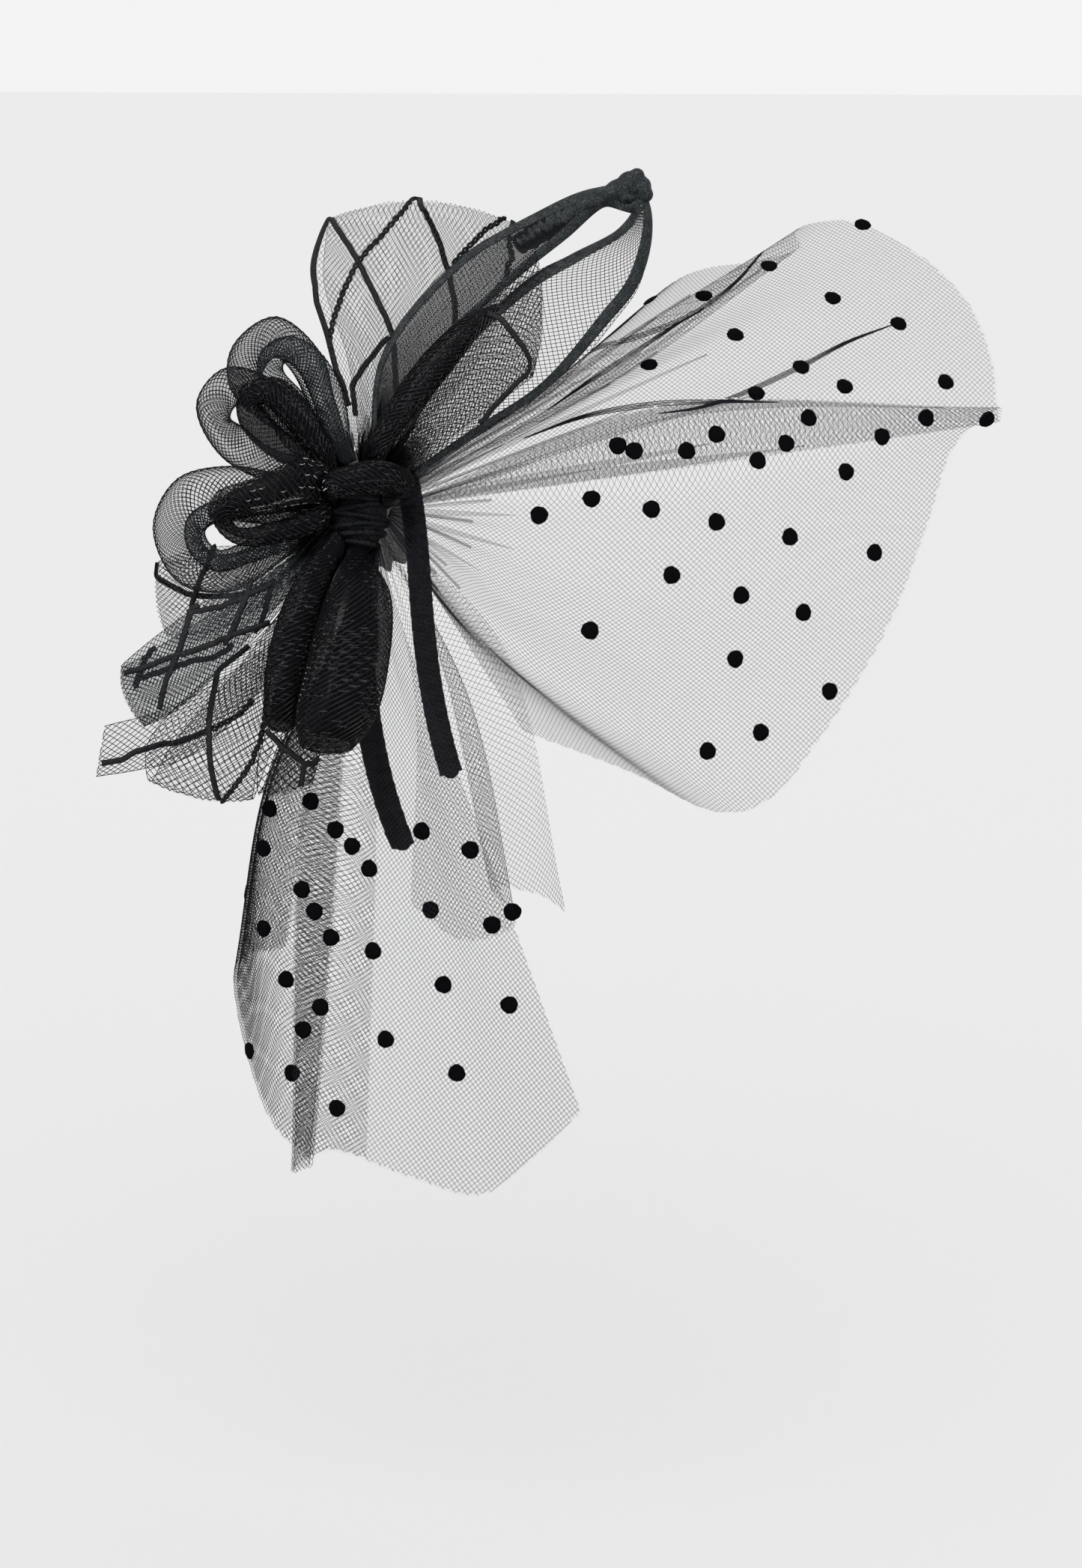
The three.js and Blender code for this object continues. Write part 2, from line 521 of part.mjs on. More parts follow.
/** Point just off the knot at a bearing and level, and the direction along its rim. */
function knotSeat(bearing, level, thickness) {
  const angle = degrees(bearing);
  const height = level * KNOT_HALF_DEPTH;
  const nearest = Math.max(0, Math.abs(height) - thickness / 2) / KNOT_HALF_DEPTH;
  const radius = Math.sqrt(1 - nearest * nearest)
    / Math.hypot(Math.cos(angle) / KNOT_HALF_WIDTH, Math.sin(angle) / KNOT_HALF_HEIGHT);
  const point = new THREE.Vector3(Math.cos(angle), Math.sin(angle), 0).multiplyScalar(radius);
  const outward = new THREE.Vector3(point.x / KNOT_HALF_WIDTH ** 2,
    point.y / KNOT_HALF_HEIGHT ** 2, 0).normalize();
  const rim = new THREE.Vector3(-outward.y, outward.x, 0);
  point.addScaledVector(outward, 2 * CLEARANCE);
  point.z = height;
  return { point, rim };
}

// Crin strips

/** Edges of a strip's sewn end, kept on the same sides as its nearest section. */
function sewnEnd(end, section, thickness) {
  const { point, rim } = knotSeat(end.bearing, end.level, thickness);
  const first = point.clone().addScaledVector(rim, SEAT_HALF_WIDTH);
  const second = point.clone().addScaledVector(rim, -SEAT_HALF_WIDTH);
  const straight = first.distanceTo(section.left) + second.distanceTo(section.right);
  const crossed = first.distanceTo(section.right) + second.distanceTo(section.left);
  const [left, right] = straight <= crossed ? [first, second] : [second, first];
  return { left, right, bow: 0 };
}

/** Rows of centre, half width, outward normal and bow along a strip. */
function stripRows(strip) {
  const sections = strip.sections.map(({ left, right, depth, bow }) => ({
    left: new THREE.Vector3(left[0], left[1], depth).multiplyScalar(strip.reach),
    right: new THREE.Vector3(right[0], right[1], depth).multiplyScalar(strip.reach),
    bow: bow * strip.reach,
  }));
  const thickness = strip.form === 'tube' ? 3 * CRIN_WALL : CRIN_WALL;
  sections.unshift(sewnEnd(strip.start, sections[0], thickness));
  if (strip.end) {
    sections.push(sewnEnd(strip.end, sections[sections.length - 1], thickness));
  }
  const rail = (pick) => new THREE.CatmullRomCurve3(sections.map(pick), false, 'centripetal');
  const left = rail((section) => section.left);
  const right = rail((section) => section.right);
  const bows = rail((section, index) => new THREE.Vector3(index, section.bow, 0));
  const count = (sections.length - 1) * STRIP_STEPS;
  const rows = [];
  for (let row = 0; row <= count; row += 1) {
    const share = row / count;
    const near = left.getPoint(share);
    const far = right.getPoint(share);
    rows.push({
      centre: near.clone().add(far).multiplyScalar(0.5),
      half: far.sub(near).multiplyScalar(0.5),
      bow: bows.getPoint(share).y,
    });
  }
  rows.forEach((row, index) => {
    const before = rows[Math.max(index - 1, 0)].centre;
    const after = rows[Math.min(index + 1, rows.length - 1)].centre;
    row.normal = row.half.clone().cross(after.clone().sub(before)).normalize();
  });
  return rows;
}

/** An open strip of crin whose middle bulges. */
function crinRibbon(strip) {
  const grid = stripRows(strip).map(({ centre, half, normal, bow }) => {
    const line = [];
    for (let column = 0; column <= STRIP_COLUMNS; column += 1) {
      const across = (2 * column) / STRIP_COLUMNS - 1;
      line.push(centre.clone().addScaledVector(half, across)
        .addScaledVector(normal, bow * (1 - across * across)));
    }
    return line;
  });
  return clothWall(strip.name, grid, CRIN_WALL, CRIN);
}

/** A flattened tube of crin. */
function crinTube(strip) {
  const rings = (offset) => stripRows(strip).map(({ centre, half, normal, bow }) => {
    const ring = [];
    const width = half.length() + offset;
    const depth = Math.max(bow, CRIN_WALL) + offset;
    const across = half.clone().normalize();
    for (let side = 0; side < TUBE_SIDES; side += 1) {
      const angle = (2 * Math.PI * side) / TUBE_SIDES;
      ring.push(centre.clone().addScaledVector(across, Math.cos(angle) * width)
        .addScaledVector(normal, Math.sin(angle) * depth));
    }
    return ring;
  });
  return tubeWall(strip.name, rings(CRIN_WALL / 2), rings(-CRIN_WALL / 2), CRIN);
}

/** The small tied knot that caps the pointed loop. */
function tipKnot() {
  const shape = new THREE.SphereGeometry(1, 10, 8);
  shape.deleteAttribute('normal');
  shape.deleteAttribute('uv');
  shape.scale(TIP_KNOT_LENGTH / 2, TIP_KNOT_WIDTH / 2, TIP_KNOT_WIDTH / 2);
  const mesh = new THREE.Mesh(mergeVertices(shape, 1e-3), new THREE.MeshStandardMaterial(CRIN));
  mesh.name = 'tip_knot';
  mesh.position.set(...TIP_KNOT_PLACE, 0).multiplyScalar(POINTED_LOOP_REACH);
  mesh.position.y += TIP_KNOT_WIDTH / 2 + CLEARANCE;
  mesh.rotation.z = degrees(TIP_KNOT_TURN);
  return mesh;
}

// Veil

/** A gathered panel of tulle, lofted over its ribs. */
function veilPanel(panel) {
  const { bearings, levels } = panel.gather;
  const last = panel.ribs.length - 1;
  const ribs = panel.ribs.map(({ waist, bend, hem }, index) => {
    const share = index / last;
    const root = knotSeat(
      THREE.MathUtils.lerp(bearings[0], bearings[1], share),
      THREE.MathUtils.lerp(levels[0], levels[1], share), VEIL_WALL).point;
    const places = [waist, bend, hem].filter(Boolean)
      .map((place) => new THREE.Vector3(...place).multiplyScalar(panel.reach));
    return new THREE.CatmullRomCurve3([root, ...places], false, 'centripetal');
  });
  const grid = [];
  for (let row = 0; row <= FAN_ROWS; row += 1) {
    const share = (row / FAN_ROWS) ** FAN_ROW_POWER;
    const across = new THREE.CatmullRomCurve3(
      ribs.map((rib) => rib.getPointAt(share)), false, 'centripetal');
    grid.push(across.getPoints(last * FAN_STEPS));
  }
  return clothWall(panel.name, grid, VEIL_WALL, VEIL);
}

// Assembly

const fascinator = new THREE.Group();
const flower = flowerGroup();
flower.updateMatrix();
const seatInFlower = flower.userData.seat.clone()
  .applyQuaternion(flower.quaternion.clone().invert());
fascinator.add(headband(), flower);
flower.add(centreKnot(seatInFlower), tipKnot());
for (const strip of STRIPS) {
  flower.add(strip.form === 'tube' ? crinTube(strip) : crinRibbon(strip));
}
for (const panel of PANELS) flower.add(veilPanel(panel));

export default fascinator;
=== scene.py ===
"""Veil fascinator: a narrow headband, a knot of crin loops and a dotted tulle veil.

Sizes are millimetres and become metres where a mesh is written. The row frame is +X the way
the wearer faces, +Y the wearer's left and +Z up, from the inner crown point of the headband.
The flower frame is x to the viewer's right, y up and z towards the viewer, from the knot.
"""
import logging
import math
from dataclasses import dataclass, field
from enum import Enum

import bpy
import numpy as np
from mathutils import Matrix, Vector
from mathutils.bvhtree import BVHTree


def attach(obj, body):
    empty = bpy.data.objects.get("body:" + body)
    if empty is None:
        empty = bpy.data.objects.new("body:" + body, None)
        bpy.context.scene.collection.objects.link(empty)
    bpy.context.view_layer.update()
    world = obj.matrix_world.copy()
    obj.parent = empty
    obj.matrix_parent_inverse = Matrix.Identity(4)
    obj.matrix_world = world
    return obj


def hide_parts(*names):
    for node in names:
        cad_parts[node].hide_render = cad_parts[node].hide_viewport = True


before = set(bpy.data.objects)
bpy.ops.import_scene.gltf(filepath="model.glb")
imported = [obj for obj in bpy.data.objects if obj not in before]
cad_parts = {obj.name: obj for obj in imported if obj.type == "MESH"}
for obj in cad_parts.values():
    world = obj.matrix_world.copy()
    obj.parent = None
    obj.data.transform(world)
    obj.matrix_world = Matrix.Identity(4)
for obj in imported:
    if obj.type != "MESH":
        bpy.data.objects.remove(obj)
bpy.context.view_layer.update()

logging.basicConfig(level=logging.INFO, format="%(message)s")
log = logging.getLogger("fascinator")

Array = np.ndarray
Piece = bpy.types.Object
Place = tuple[float, float]
Triple = tuple[float, float, float]
Sextuple = tuple[float, float, float, float, float, float]

MM = 0.001
OVERLAP = 0.4  # share of a thread's width by which crossing threads stand off the grid
THREAD_SIDES = 3  # sides of a thread
FLAT_STEP = 3.4  # longest distance between two samples of a thread on flat cloth
ROUND_STEP = 2.2  # the same on a tube
FILM_WALL = 0.12  # thickness of a film and of a pleat
NEAR_HALF = (0.05, 0.5)  # shares of a loop's length on its way out from the knot
ROUTE_SHARES = np.linspace(0, 1, 60)  # stops at which a cord's route is looked up
ROUTE_BLUR = 5  # number of stops that each place of a route is the mean of
ROUTE_SAMPLES = 160  # samples of a finished route


# Finishes

@dataclass(frozen=True)
class PlainFinish:
    """One even finish, for threads whose weave is modelled.

    Attributes:
        name: Name of the material.
        colour: Base colour, linear.
        roughness: Roughness of the surface.
        alpha: Opacity.
        gloss: Level of the mirror reflection, 0.5 for common plastics.
        sheen: Weight of the soft sheen.
    """

    name: str
    colour: Triple
    roughness: float
    alpha: float = 1.0
    gloss: float = 0.12
    sheen: float = 0.0

    def material(self) -> bpy.types.Material:
        """Return the material, made at its first use."""
        found = bpy.data.materials.get(self.name)
        if found:
            return found
        made = bpy.data.materials.new(self.name)
        made.use_nodes = True
        shader = made.node_tree.nodes["Principled BSDF"]
        shader.inputs["Base Color"].default_value = (*self.colour, 1.0)
        shader.inputs["Roughness"].default_value = self.roughness
        shader.inputs["Alpha"].default_value = self.alpha
        shader.inputs["Specular IOR Level"].default_value = self.gloss
        shader.inputs["Sheen Weight"].default_value = self.sheen
        self.shape(made.node_tree, shader)
        return made

    def shape(self, tree: bpy.types.NodeTree, shader: bpy.types.Node) -> None:
        """Add the nodes of a pattern; a plain finish has none."""


@dataclass(frozen=True)
class BraidFinish(PlainFinish):
    """A fine braided finish on Object coordinates, with a mottled colour.

    Attributes:
        second: The lighter colour of the braid's crests.
        grain: Braid crossings to the metre.
        relief: Height of the braid, in metres.
        strength: Strength of its bump.
        cloud_share: Scale of the mottling, as a share of the grain.
        cloud_detail: Detail of the mottling.
        stops: Levels at which the base colour ends and the lighter one is full.
    """

    second: Triple = (0.05, 0.06, 0.065)
    grain: float = 900.0
    relief: float = 0.0003
    strength: float = 0.8
    cloud_share: float = 0.22
    cloud_detail: float = 5.0
    stops: Place = (0.12, 0.52)

    def shape(self, tree: bpy.types.NodeTree, shader: bpy.types.Node) -> None:
        """Add the braid's bump and its mottled colour."""
        nodes, links = tree.nodes, tree.links
        place = nodes.new("ShaderNodeTexCoord").outputs["Object"]
        braid = nodes.new("ShaderNodeTexVoronoi")
        cloud = nodes.new("ShaderNodeTexNoise")
        cloud.inputs["Detail"].default_value = self.cloud_detail
        for texture, scale in ((braid, self.grain), (cloud, self.grain * self.cloud_share)):
            texture.inputs["Scale"].default_value = scale
            links.new(place, texture.inputs["Vector"])
        both = nodes.new("ShaderNodeMath")
        both.operation = "MULTIPLY"
        links.new(braid.outputs["Distance"], both.inputs[0])
        links.new(cloud.outputs["Fac"], both.inputs[1])
        ramp = nodes.new("ShaderNodeValToRGB")
        colours = (self.colour, self.second)
        for stop, level, colour in zip(ramp.color_ramp.elements, self.stops, colours):
            stop.position = level
            stop.color = (*colour, 1.0)
        links.new(both.outputs[0], ramp.inputs["Fac"])
        links.new(ramp.outputs["Color"], shader.inputs["Base Color"])
        bump = nodes.new("ShaderNodeBump")
        bump.inputs["Distance"].default_value = self.relief
        bump.inputs["Strength"].default_value = self.strength
        links.new(braid.outputs["Distance"], bump.inputs["Height"])
        links.new(bump.outputs["Normal"], shader.inputs["Normal"])


CRIN_THREAD = PlainFinish("crin_thread", (0.006, 0.006, 0.008), 0.28, gloss=0.16)
DARK_THREAD = PlainFinish("crin_thread_dark", (0.003, 0.003, 0.004), 0.26, gloss=0.2)
SLATE_THREAD = PlainFinish("crin_thread_slate", (0.010, 0.013, 0.015), 0.32, gloss=0.16)
PALE_THREAD = PlainFinish("crin_thread_pale", (0.030, 0.029, 0.034), 0.4)
TULLE_THREAD = PlainFinish("tulle_thread", (0.007, 0.006, 0.009), 0.5, gloss=0.08)
CRIN_FILM = PlainFinish("crin_film", (0.020, 0.020, 0.026), 0.6, alpha=0.035, gloss=0.05)
SLATE_FILM = PlainFinish("crin_film_slate", (0.020, 0.027, 0.030), 0.6, alpha=0.12, gloss=0.05)
CURL_FILM = PlainFinish("crin_film_curl", (0.010, 0.011, 0.014), 0.6, alpha=0.12, gloss=0.05)
RING_FILM = PlainFinish("crin_film_ring", (0.010, 0.011, 0.014), 0.6, alpha=0.05, gloss=0.05)
DARK_FILM = PlainFinish("crin_film_dark", (0.003, 0.003, 0.004), 0.6, alpha=0.46, gloss=0.03)
TUBE_FILM = PlainFinish("crin_film_tube", (0.003, 0.003, 0.004), 0.6, alpha=0.20, gloss=0.03)
GATHER_FILM = PlainFinish("crin_gathered", (0.002, 0.002, 0.003), 0.7, alpha=0.72, gloss=0.03)
HAZE_FILM = PlainFinish("crin_gather_haze", (0.003, 0.003, 0.004), 0.7, alpha=0.30, gloss=0.03)
PLEAT_FILM = PlainFinish("tulle_pleat", (0.012, 0.010, 0.016), 0.7, alpha=0.16, gloss=0.03)
# Pale threads that are painted highlights: the glints on the black crin threads
PAINTED_GLINT_THREAD = PlainFinish("crin_painted_glint", (0.80, 0.81, 0.84), 0.3, gloss=0.5)
TULLE_FILM = PlainFinish("tulle_film", (0.030, 0.026, 0.038), 0.6, alpha=0.018, gloss=0.05)
CORD_BRAID = BraidFinish("cord_braid", (0.003, 0.003, 0.004), 0.5,
                         second=(0.014, 0.015, 0.017), grain=1400.0)
SELVAGE_BRAID = BraidFinish("selvage_braid", (0.004, 0.006, 0.007), 0.45,
                            second=(0.034, 0.039, 0.041), grain=1300.0)
FLOCK = BraidFinish("flock_dot", (0.0015, 0.0015, 0.002), 0.95, gloss=0.02,
                    second=(0.003, 0.003, 0.004), grain=2600.0, relief=0.0002)
RIBBON = BraidFinish("band_ribbon", (0.003, 0.003, 0.004), 0.7, gloss=0.1,
                     second=(0.012, 0.012, 0.014), grain=1500.0)
KNOT_CLOTH = BraidFinish("knot_cloth", (0.002, 0.002, 0.003), 0.6, gloss=0.08,
                         second=(0.010, 0.011, 0.013), grain=900.0, relief=0.0005)


# Curves

def unit(vectors: Array) -> Array:
    """Return the vectors at length one."""
    return vectors / np.maximum(np.linalg.norm(vectors, axis=-1, keepdims=True), 1e-9)


def running(line: Array) -> Array:
    """Return the length of one or more lines up to each of their points."""
    steps = np.linalg.norm(np.diff(line, axis=0), axis=-1)
    return np.concatenate([np.zeros_like(steps[:1]), np.cumsum(steps, axis=0)])


class Rail:
    """Smooth curves through chosen points, any number of them side by side."""

    def __init__(self, points: Array) -> None:
        """Take the points.

        Args:
            points: Array of (point, ..., coordinate).
        """
        first = 2 * points[0] - points[1]
        last = 2 * points[-1] - points[-2]
        self.points = np.concatenate([first[None], points, last[None]])
        self.spans = len(points) - 1

    def at(self, shares: Array) -> Array:
        """Return the points at shares of the curve, counted evenly from point to point."""
        where = np.clip(shares, 0, 1) * self.spans
        index = np.minimum(where.astype(int), self.spans - 1)
        weight = (where - index).reshape(-1, *([1] * (self.points.ndim - 1)))
        a, b, c, d = (self.points[index + step] for step in range(4))
        before, here, after = (
            np.maximum(((q - p) ** 2).sum(-1, keepdims=True), 1e-9) ** 0.25
            for p, q in ((a, b), (b, c), (c, d))
        )
        leave = ((b - a) / before - (c - a) / (before + here) + (c - b) / here) * here
        arrive = ((c - b) / here - (d - b) / (here + after) + (d - c) / after) * here
        square = weight * weight
        cube = square * weight
        return (b + leave * weight + (-3 * b + 3 * c - 2 * leave - arrive) * square
                + (2 * b - 2 * c + leave + arrive) * cube)

    def spaced(self, shares: Array, steps: int = 200) -> Array:
        """Return the points at shares of each curve's own length."""
        ruler = np.linspace(0, 1, steps + 1)
        line = self.at(ruler)
        lengths = running(line)
        if line.ndim == 2:
            return self.at(np.interp(shares * lengths[-1], lengths, ruler))
        curves = []
        for number in range(line.shape[1]):
            single = Rail(self.points[1:-1, number])
            places = np.interp(shares * lengths[-1, number], lengths[:, number], ruler)
            curves.append(single.at(places))
        return np.stack(curves, axis=1)


# Frames

@dataclass(frozen=True)
class BandPath:
    """The headband's line: half an ellipse over the head, and two legs.

    Attributes:
        half_span: Half the distance between the legs at the ellipse's ends.
        crown_drop: Height of the crown above them.
        leg: Length of a leg.
        tip_half_span: Half the distance between the tips.
        sweep: How far forward the tips reach.
        sweep_power: How late the band sweeps forward.
        width: Width of the band.
        thickness: Its thickness.
    """

    half_span: float = 66
    crown_drop: float = 74
    leg: float = 84
    tip_half_span: float = 58
    sweep: float = 17
    sweep_power: float = 3.4
    width: float = 9
    thickness: float = 3.5

    @property
    def half_length(self) -> float:
        """Length from the crown to a tip."""
        return self.leg + self.crown_drop * math.pi / 2

    @property
    def leg_share(self) -> float:
        """Share of the half length that is leg."""
        return self.leg / self.half_length

    def frame(self, place: float) -> tuple[Array, Array]:
        """Return the inner point and the outward direction at a place.

        Args:
            place: From -1 at one tip to 1 at the other.

        Returns:
            The point on the inner face and the unit vector away from the head.
        """
        side = -1.0 if place < 0 else 1.0
        distance = abs(place)
        if distance < 1 - self.leg_share:
            angle = math.pi / 2 * (1 - distance / (1 - self.leg_share))
            y = self.half_span * math.cos(angle)
            z = self.crown_drop * (math.sin(angle) - 1)
            outward = np.array([0, math.cos(angle) / self.half_span,
                                math.sin(angle) / self.crown_drop])
        else:
            down = (distance - 1 + self.leg_share) / self.leg_share
            inset = self.half_span - self.tip_half_span
            y = self.half_span - inset * down * down
            z = -self.crown_drop - self.leg * down
            outward = np.array([0, self.leg, -2 * inset * down])
        outward = unit(outward)
        outward[1] *= side
        depth = -z / (self.crown_drop + self.leg)
        return np.array([self.sweep * depth ** self.sweep_power, side * y, z]), outward


@dataclass(frozen=True)
class KnotSizes:
    """The knot's half sizes and its place on the band.

    Attributes:
        half_width: Half its width.
        half_height: Half its height.
        half_depth: Half its depth, towards the viewer.
        band_angle: Degrees up the arch from the band's widest level.
        standoff: Distance from the knot's middle to the band.
        clearance: Gap between the knot and what stands at it.
        seat_half_width: Half the width of a pinched end.
        crin_wall: Thickness of a crin wall in the solids.
    """

    half_width: float = 12
    half_height: float = 19
    half_depth: float = 13
    band_angle: float = 43
    standoff: float = 12.5
    clearance: float = 0.3
    seat_half_width: float = 2.6
    crin_wall: float = 1.0

    def seat(self, bearing: float, level: float, thickness: float) -> tuple[Array, Array]:
        """Return a point just off the knot and the direction along its rim.

        Args:
            bearing: Degrees counter-clockwise from the viewer's right.
            level: Share of the knot's half depth, towards the viewer.
            thickness: Thickness of what is sewn there.

        Returns:
            The point and the unit vector, in the flower frame.
        """
        angle = math.radians(bearing)
        height = level * self.half_depth
        nearest = max(0.0, abs(height) - thickness / 2) / self.half_depth
        radius = math.sqrt(1 - nearest ** 2) / math.hypot(
            math.cos(angle) / self.half_width, math.sin(angle) / self.half_height)
        point = radius * np.array([math.cos(angle), math.sin(angle), 0])
        outward = unit(np.array([point[0] / self.half_width ** 2,
                                 point[1] / self.half_height ** 2, 0]))
        rim = np.array([-outward[1], outward[0], 0])
        point = point + 2 * self.clearance * outward
        point[2] = height
        return point, rim


BAND = BandPath()
KNOT = KnotSizes()


class FlowerFrame:
    """Turns places of the flower frame into places of the row frame."""

    turn = math.radians(8)
    tilt = math.radians(15)

    def __init__(self) -> None:
        """Set the frame on the band, where the knot is sewn."""
        place = -(1 - KNOT.band_angle / 90) * (1 - BAND.leg_share)
        inner, outward = BAND.frame(place)
        self.origin = inner + outward * (BAND.thickness + KNOT.clearance + KNOT.standoff)
        sine, cosine = math.sin(self.turn), math.cos(self.turn)
        low, high = math.sin(self.tilt), math.cos(self.tilt)
        self.right = np.array([cosine, sine, 0])
        self.up = np.array([-sine * low, cosine * low, high])
        self.front = np.array([sine * high, -cosine * high, low])
        self.axes = np.stack([self.right, self.up, self.front])

    def to_row(self, points: Array) -> Array:
        """Return points of the flower frame in the row frame."""
        return self.origin + points @ self.axes


FLOWER = FlowerFrame()


@dataclass(frozen=True)
class Viewpoint:
    """The photograph's camera, placed from the knot.

    Attributes:
        picture: Width and height of the photograph, in pixels.
        focal_pixels: Focal length in pixels.
        knot_pixel: Pixel at which the knot's middle shows.
        knot_distance: Distance from the camera to the knot, along the camera's axis.
        sensor: Width of the sensor.
    """

    picture: tuple[int, int] = (1445, 2094)
    focal_pixels: float = 3720
    knot_pixel: Place = (480, 680)
    knot_distance: float = 1141
    sensor: float = 36

    @property
    def knot_offset(self) -> Place:
        """Place of the knot right of and above the camera's axis."""
        scale = self.knot_distance / self.focal_pixels
        return ((self.knot_pixel[0] - self.picture[0] / 2) * scale,
                (self.picture[1] / 2 - self.knot_pixel[1]) * scale)

    @property
    def eye(self) -> Array:
        """The camera's place in the row frame."""
        across, above = self.knot_offset
        return (FLOWER.origin - across * FLOWER.right - above * FLOWER.up
                + self.knot_distance * FLOWER.front)

    def ray(self, pixel: Place) -> Array:
        """Return the direction from the eye through a pixel of the photograph."""
        across = (pixel[0] - self.picture[0] / 2) / self.focal_pixels
        above = (self.picture[1] / 2 - pixel[1]) / self.focal_pixels
        return unit(across * FLOWER.right + above * FLOWER.up - FLOWER.front)

    def place(self, pixel: Place, depth: float) -> Array:
        """Return the place in the flower frame that a pixel shows at a depth."""
        scale = (self.knot_distance - depth) / self.focal_pixels
        across, above = self.knot_offset
        return np.array([(pixel[0] - self.picture[0] / 2) * scale - across,
                         (self.picture[1] / 2 - pixel[1]) * scale - above, depth])

    def pixels(self, points: Array) -> Array:
        """Return the pixels at which points of the row frame show."""
        seen = (points - self.eye) @ FLOWER.axes.T
        scale = self.focal_pixels / -seen[..., 2]
        return np.stack([self.picture[0] / 2 + seen[..., 0] * scale,
                         self.picture[1] / 2 - seen[..., 1] * scale], axis=-1)


VIEW = Viewpoint()


# Meshes

def grid_quads(numbers: Array) -> Array:
    """Return the squares of a grid of corner numbers."""
    return np.stack([numbers[:-1, :-1], numbers[:-1, 1:],
                     numbers[1:, 1:], numbers[1:, :-1]], axis=-1).reshape(-1, 4)


def wall_quads(height: int, width: int, closed: bool = False) -> Array:
    """Return the squares of a closed thin wall, its upper grid numbered before its lower one.

    Args:
        height: Number of rows.
        width: Number of columns.
        closed: True where the last column is the first again.
    """
    count = height * width
    numbers = np.arange(count).reshape(height, width)
    if closed:
        numbers[:, -1] = numbers[:, 0]
    outer = grid_quads(numbers)
    rims = [np.stack([numbers[0, :-1], numbers[0, 1:]], axis=1),
            np.stack([numbers[-1, 1:], numbers[-1, :-1]], axis=1)]
    if not closed:
        rims += [np.stack([numbers[:-1, -1], numbers[1:, -1]], axis=1),
                 np.stack([numbers[1:, 0], numbers[:-1, 0]], axis=1)]
    rim = np.concatenate(rims)
    edge = np.stack([rim[:, 1], rim[:, 0], rim[:, 0] + count, rim[:, 1] + count], axis=1)
    return np.concatenate([outer, outer[:, ::-1] + count, edge])


def write_mesh(name: str, points: Array, faces: list[Array], finish: PlainFinish) -> Piece:
    """Make an object from points and faces.

    Args:
        name: Name of the piece.
        points: Points of the row frame, in millimetres.
        faces: Arrays of corner numbers, one array for each number of corners.
        finish: Finish of the piece.

    Returns:
        The new object, at the origin.
    """
    mesh = bpy.data.meshes.new(name)
    faces = [array for array in faces if len(array)]
    sizes = np.concatenate([np.full(len(array), array.shape[1]) for array in faces])
    corners = np.concatenate([array.ravel() for array in faces])
    mesh.vertices.add(len(points))
    mesh.vertices.foreach_set("co", (points * MM).astype(np.float32).ravel())
    mesh.loops.add(len(corners))
    mesh.loops.foreach_set("vertex_index", corners.astype(np.int32))
    mesh.polygons.add(len(sizes))
    starts = np.concatenate([[0], np.cumsum(sizes)[:-1]])
    mesh.polygons.foreach_set("loop_start", starts.astype(np.int32))
    mesh.polygons.foreach_set("use_smooth", np.full(len(sizes), True))
    mesh.update(calc_edges=True)
    mesh.validate()
    piece = bpy.data.objects.new(name, mesh)
    bpy.context.scene.collection.objects.link(piece)
    mesh.materials.append(finish.material())
    return piece


def seat_piece(piece: Piece, slot: str, *nodes: str) -> Piece:
    """Let a piece ride on the part, hide the nodes that it stands for and log its triangles."""
    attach(piece, "root")
    if nodes:
        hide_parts(*nodes)
    triangles = sum(len(face.vertices) - 2 for face in piece.data.polygons)
    log.info("%s: %d triangles", piece.name, triangles)
    return piece


@dataclass
class Threads:
    """Lines laid on a cloth, all their samples in a row.

    Attributes:
        points: Places of the samples.
        normals: Directions away from the cloth.
        joined: True where a sample joins the next one.
    """

    points: Array
    normals: Array
    joined: Array

    @staticmethod
    def line(points: Array, normals: Array) -> "Threads":
        """Return one unbroken thread."""
        joined = np.ones(len(points), dtype=bool)
        joined[-1] = False
        return Threads(points, normals, joined)

    @staticmethod
    def together(several: list["Threads"]) -> "Threads":
        """Return several sets of threads as one."""
        for threads in several:
            threads.joined[-1] = False
        return Threads(*(np.concatenate([getattr(threads, part) for threads in several])
                         for part in ("points", "normals", "joined")))

    def tubes(self, width: float | Array, height: float, sides: int) -> tuple[Array, list[Array]]:
        """Return the points and faces of closed tubes along the threads.

        Args:
            width: Width along the cloth, for all samples or for each.
            height: Height away from the cloth.
            sides: Number of sides.

        Returns:
            The points, and the arrays of corner numbers of the sides and of the ends.
        """
        step = np.diff(self.points, axis=0, append=self.points[-1:])
        step[~self.joined] = 0
        back = np.roll(step, 1, axis=0)
        tangent = unit(step + back)
        side = unit(np.cross(tangent, self.normals))
        normal = np.cross(side, tangent)
        angles = 2 * math.pi * np.arange(sides) / sides
        width = np.broadcast_to(width, len(self.points))[:, None, None]
        rings = (self.points[:, None]
                 + np.cos(angles)[:, None] * height / 2 * normal[:, None]
                 + np.sin(angles)[:, None] * width / 2 * side[:, None])
        start = np.flatnonzero(self.joined)[:, None] * sides
        around = np.arange(sides)
        after = (around + 1) % sides
        quads = np.stack([start + around, start + after,
                          start + sides + after, start + sides + around], axis=-1)
        begins = self.joined & ~np.roll(self.joined, 1)
        ends = ~self.joined & np.roll(self.joined, 1)
        caps = np.concatenate([
            np.flatnonzero(begins)[:, None] * sides + around[::-1],
            np.flatnonzero(ends)[:, None] * sides + around])
        return rings.reshape(-1, 3), [quads.reshape(-1, 4), caps]


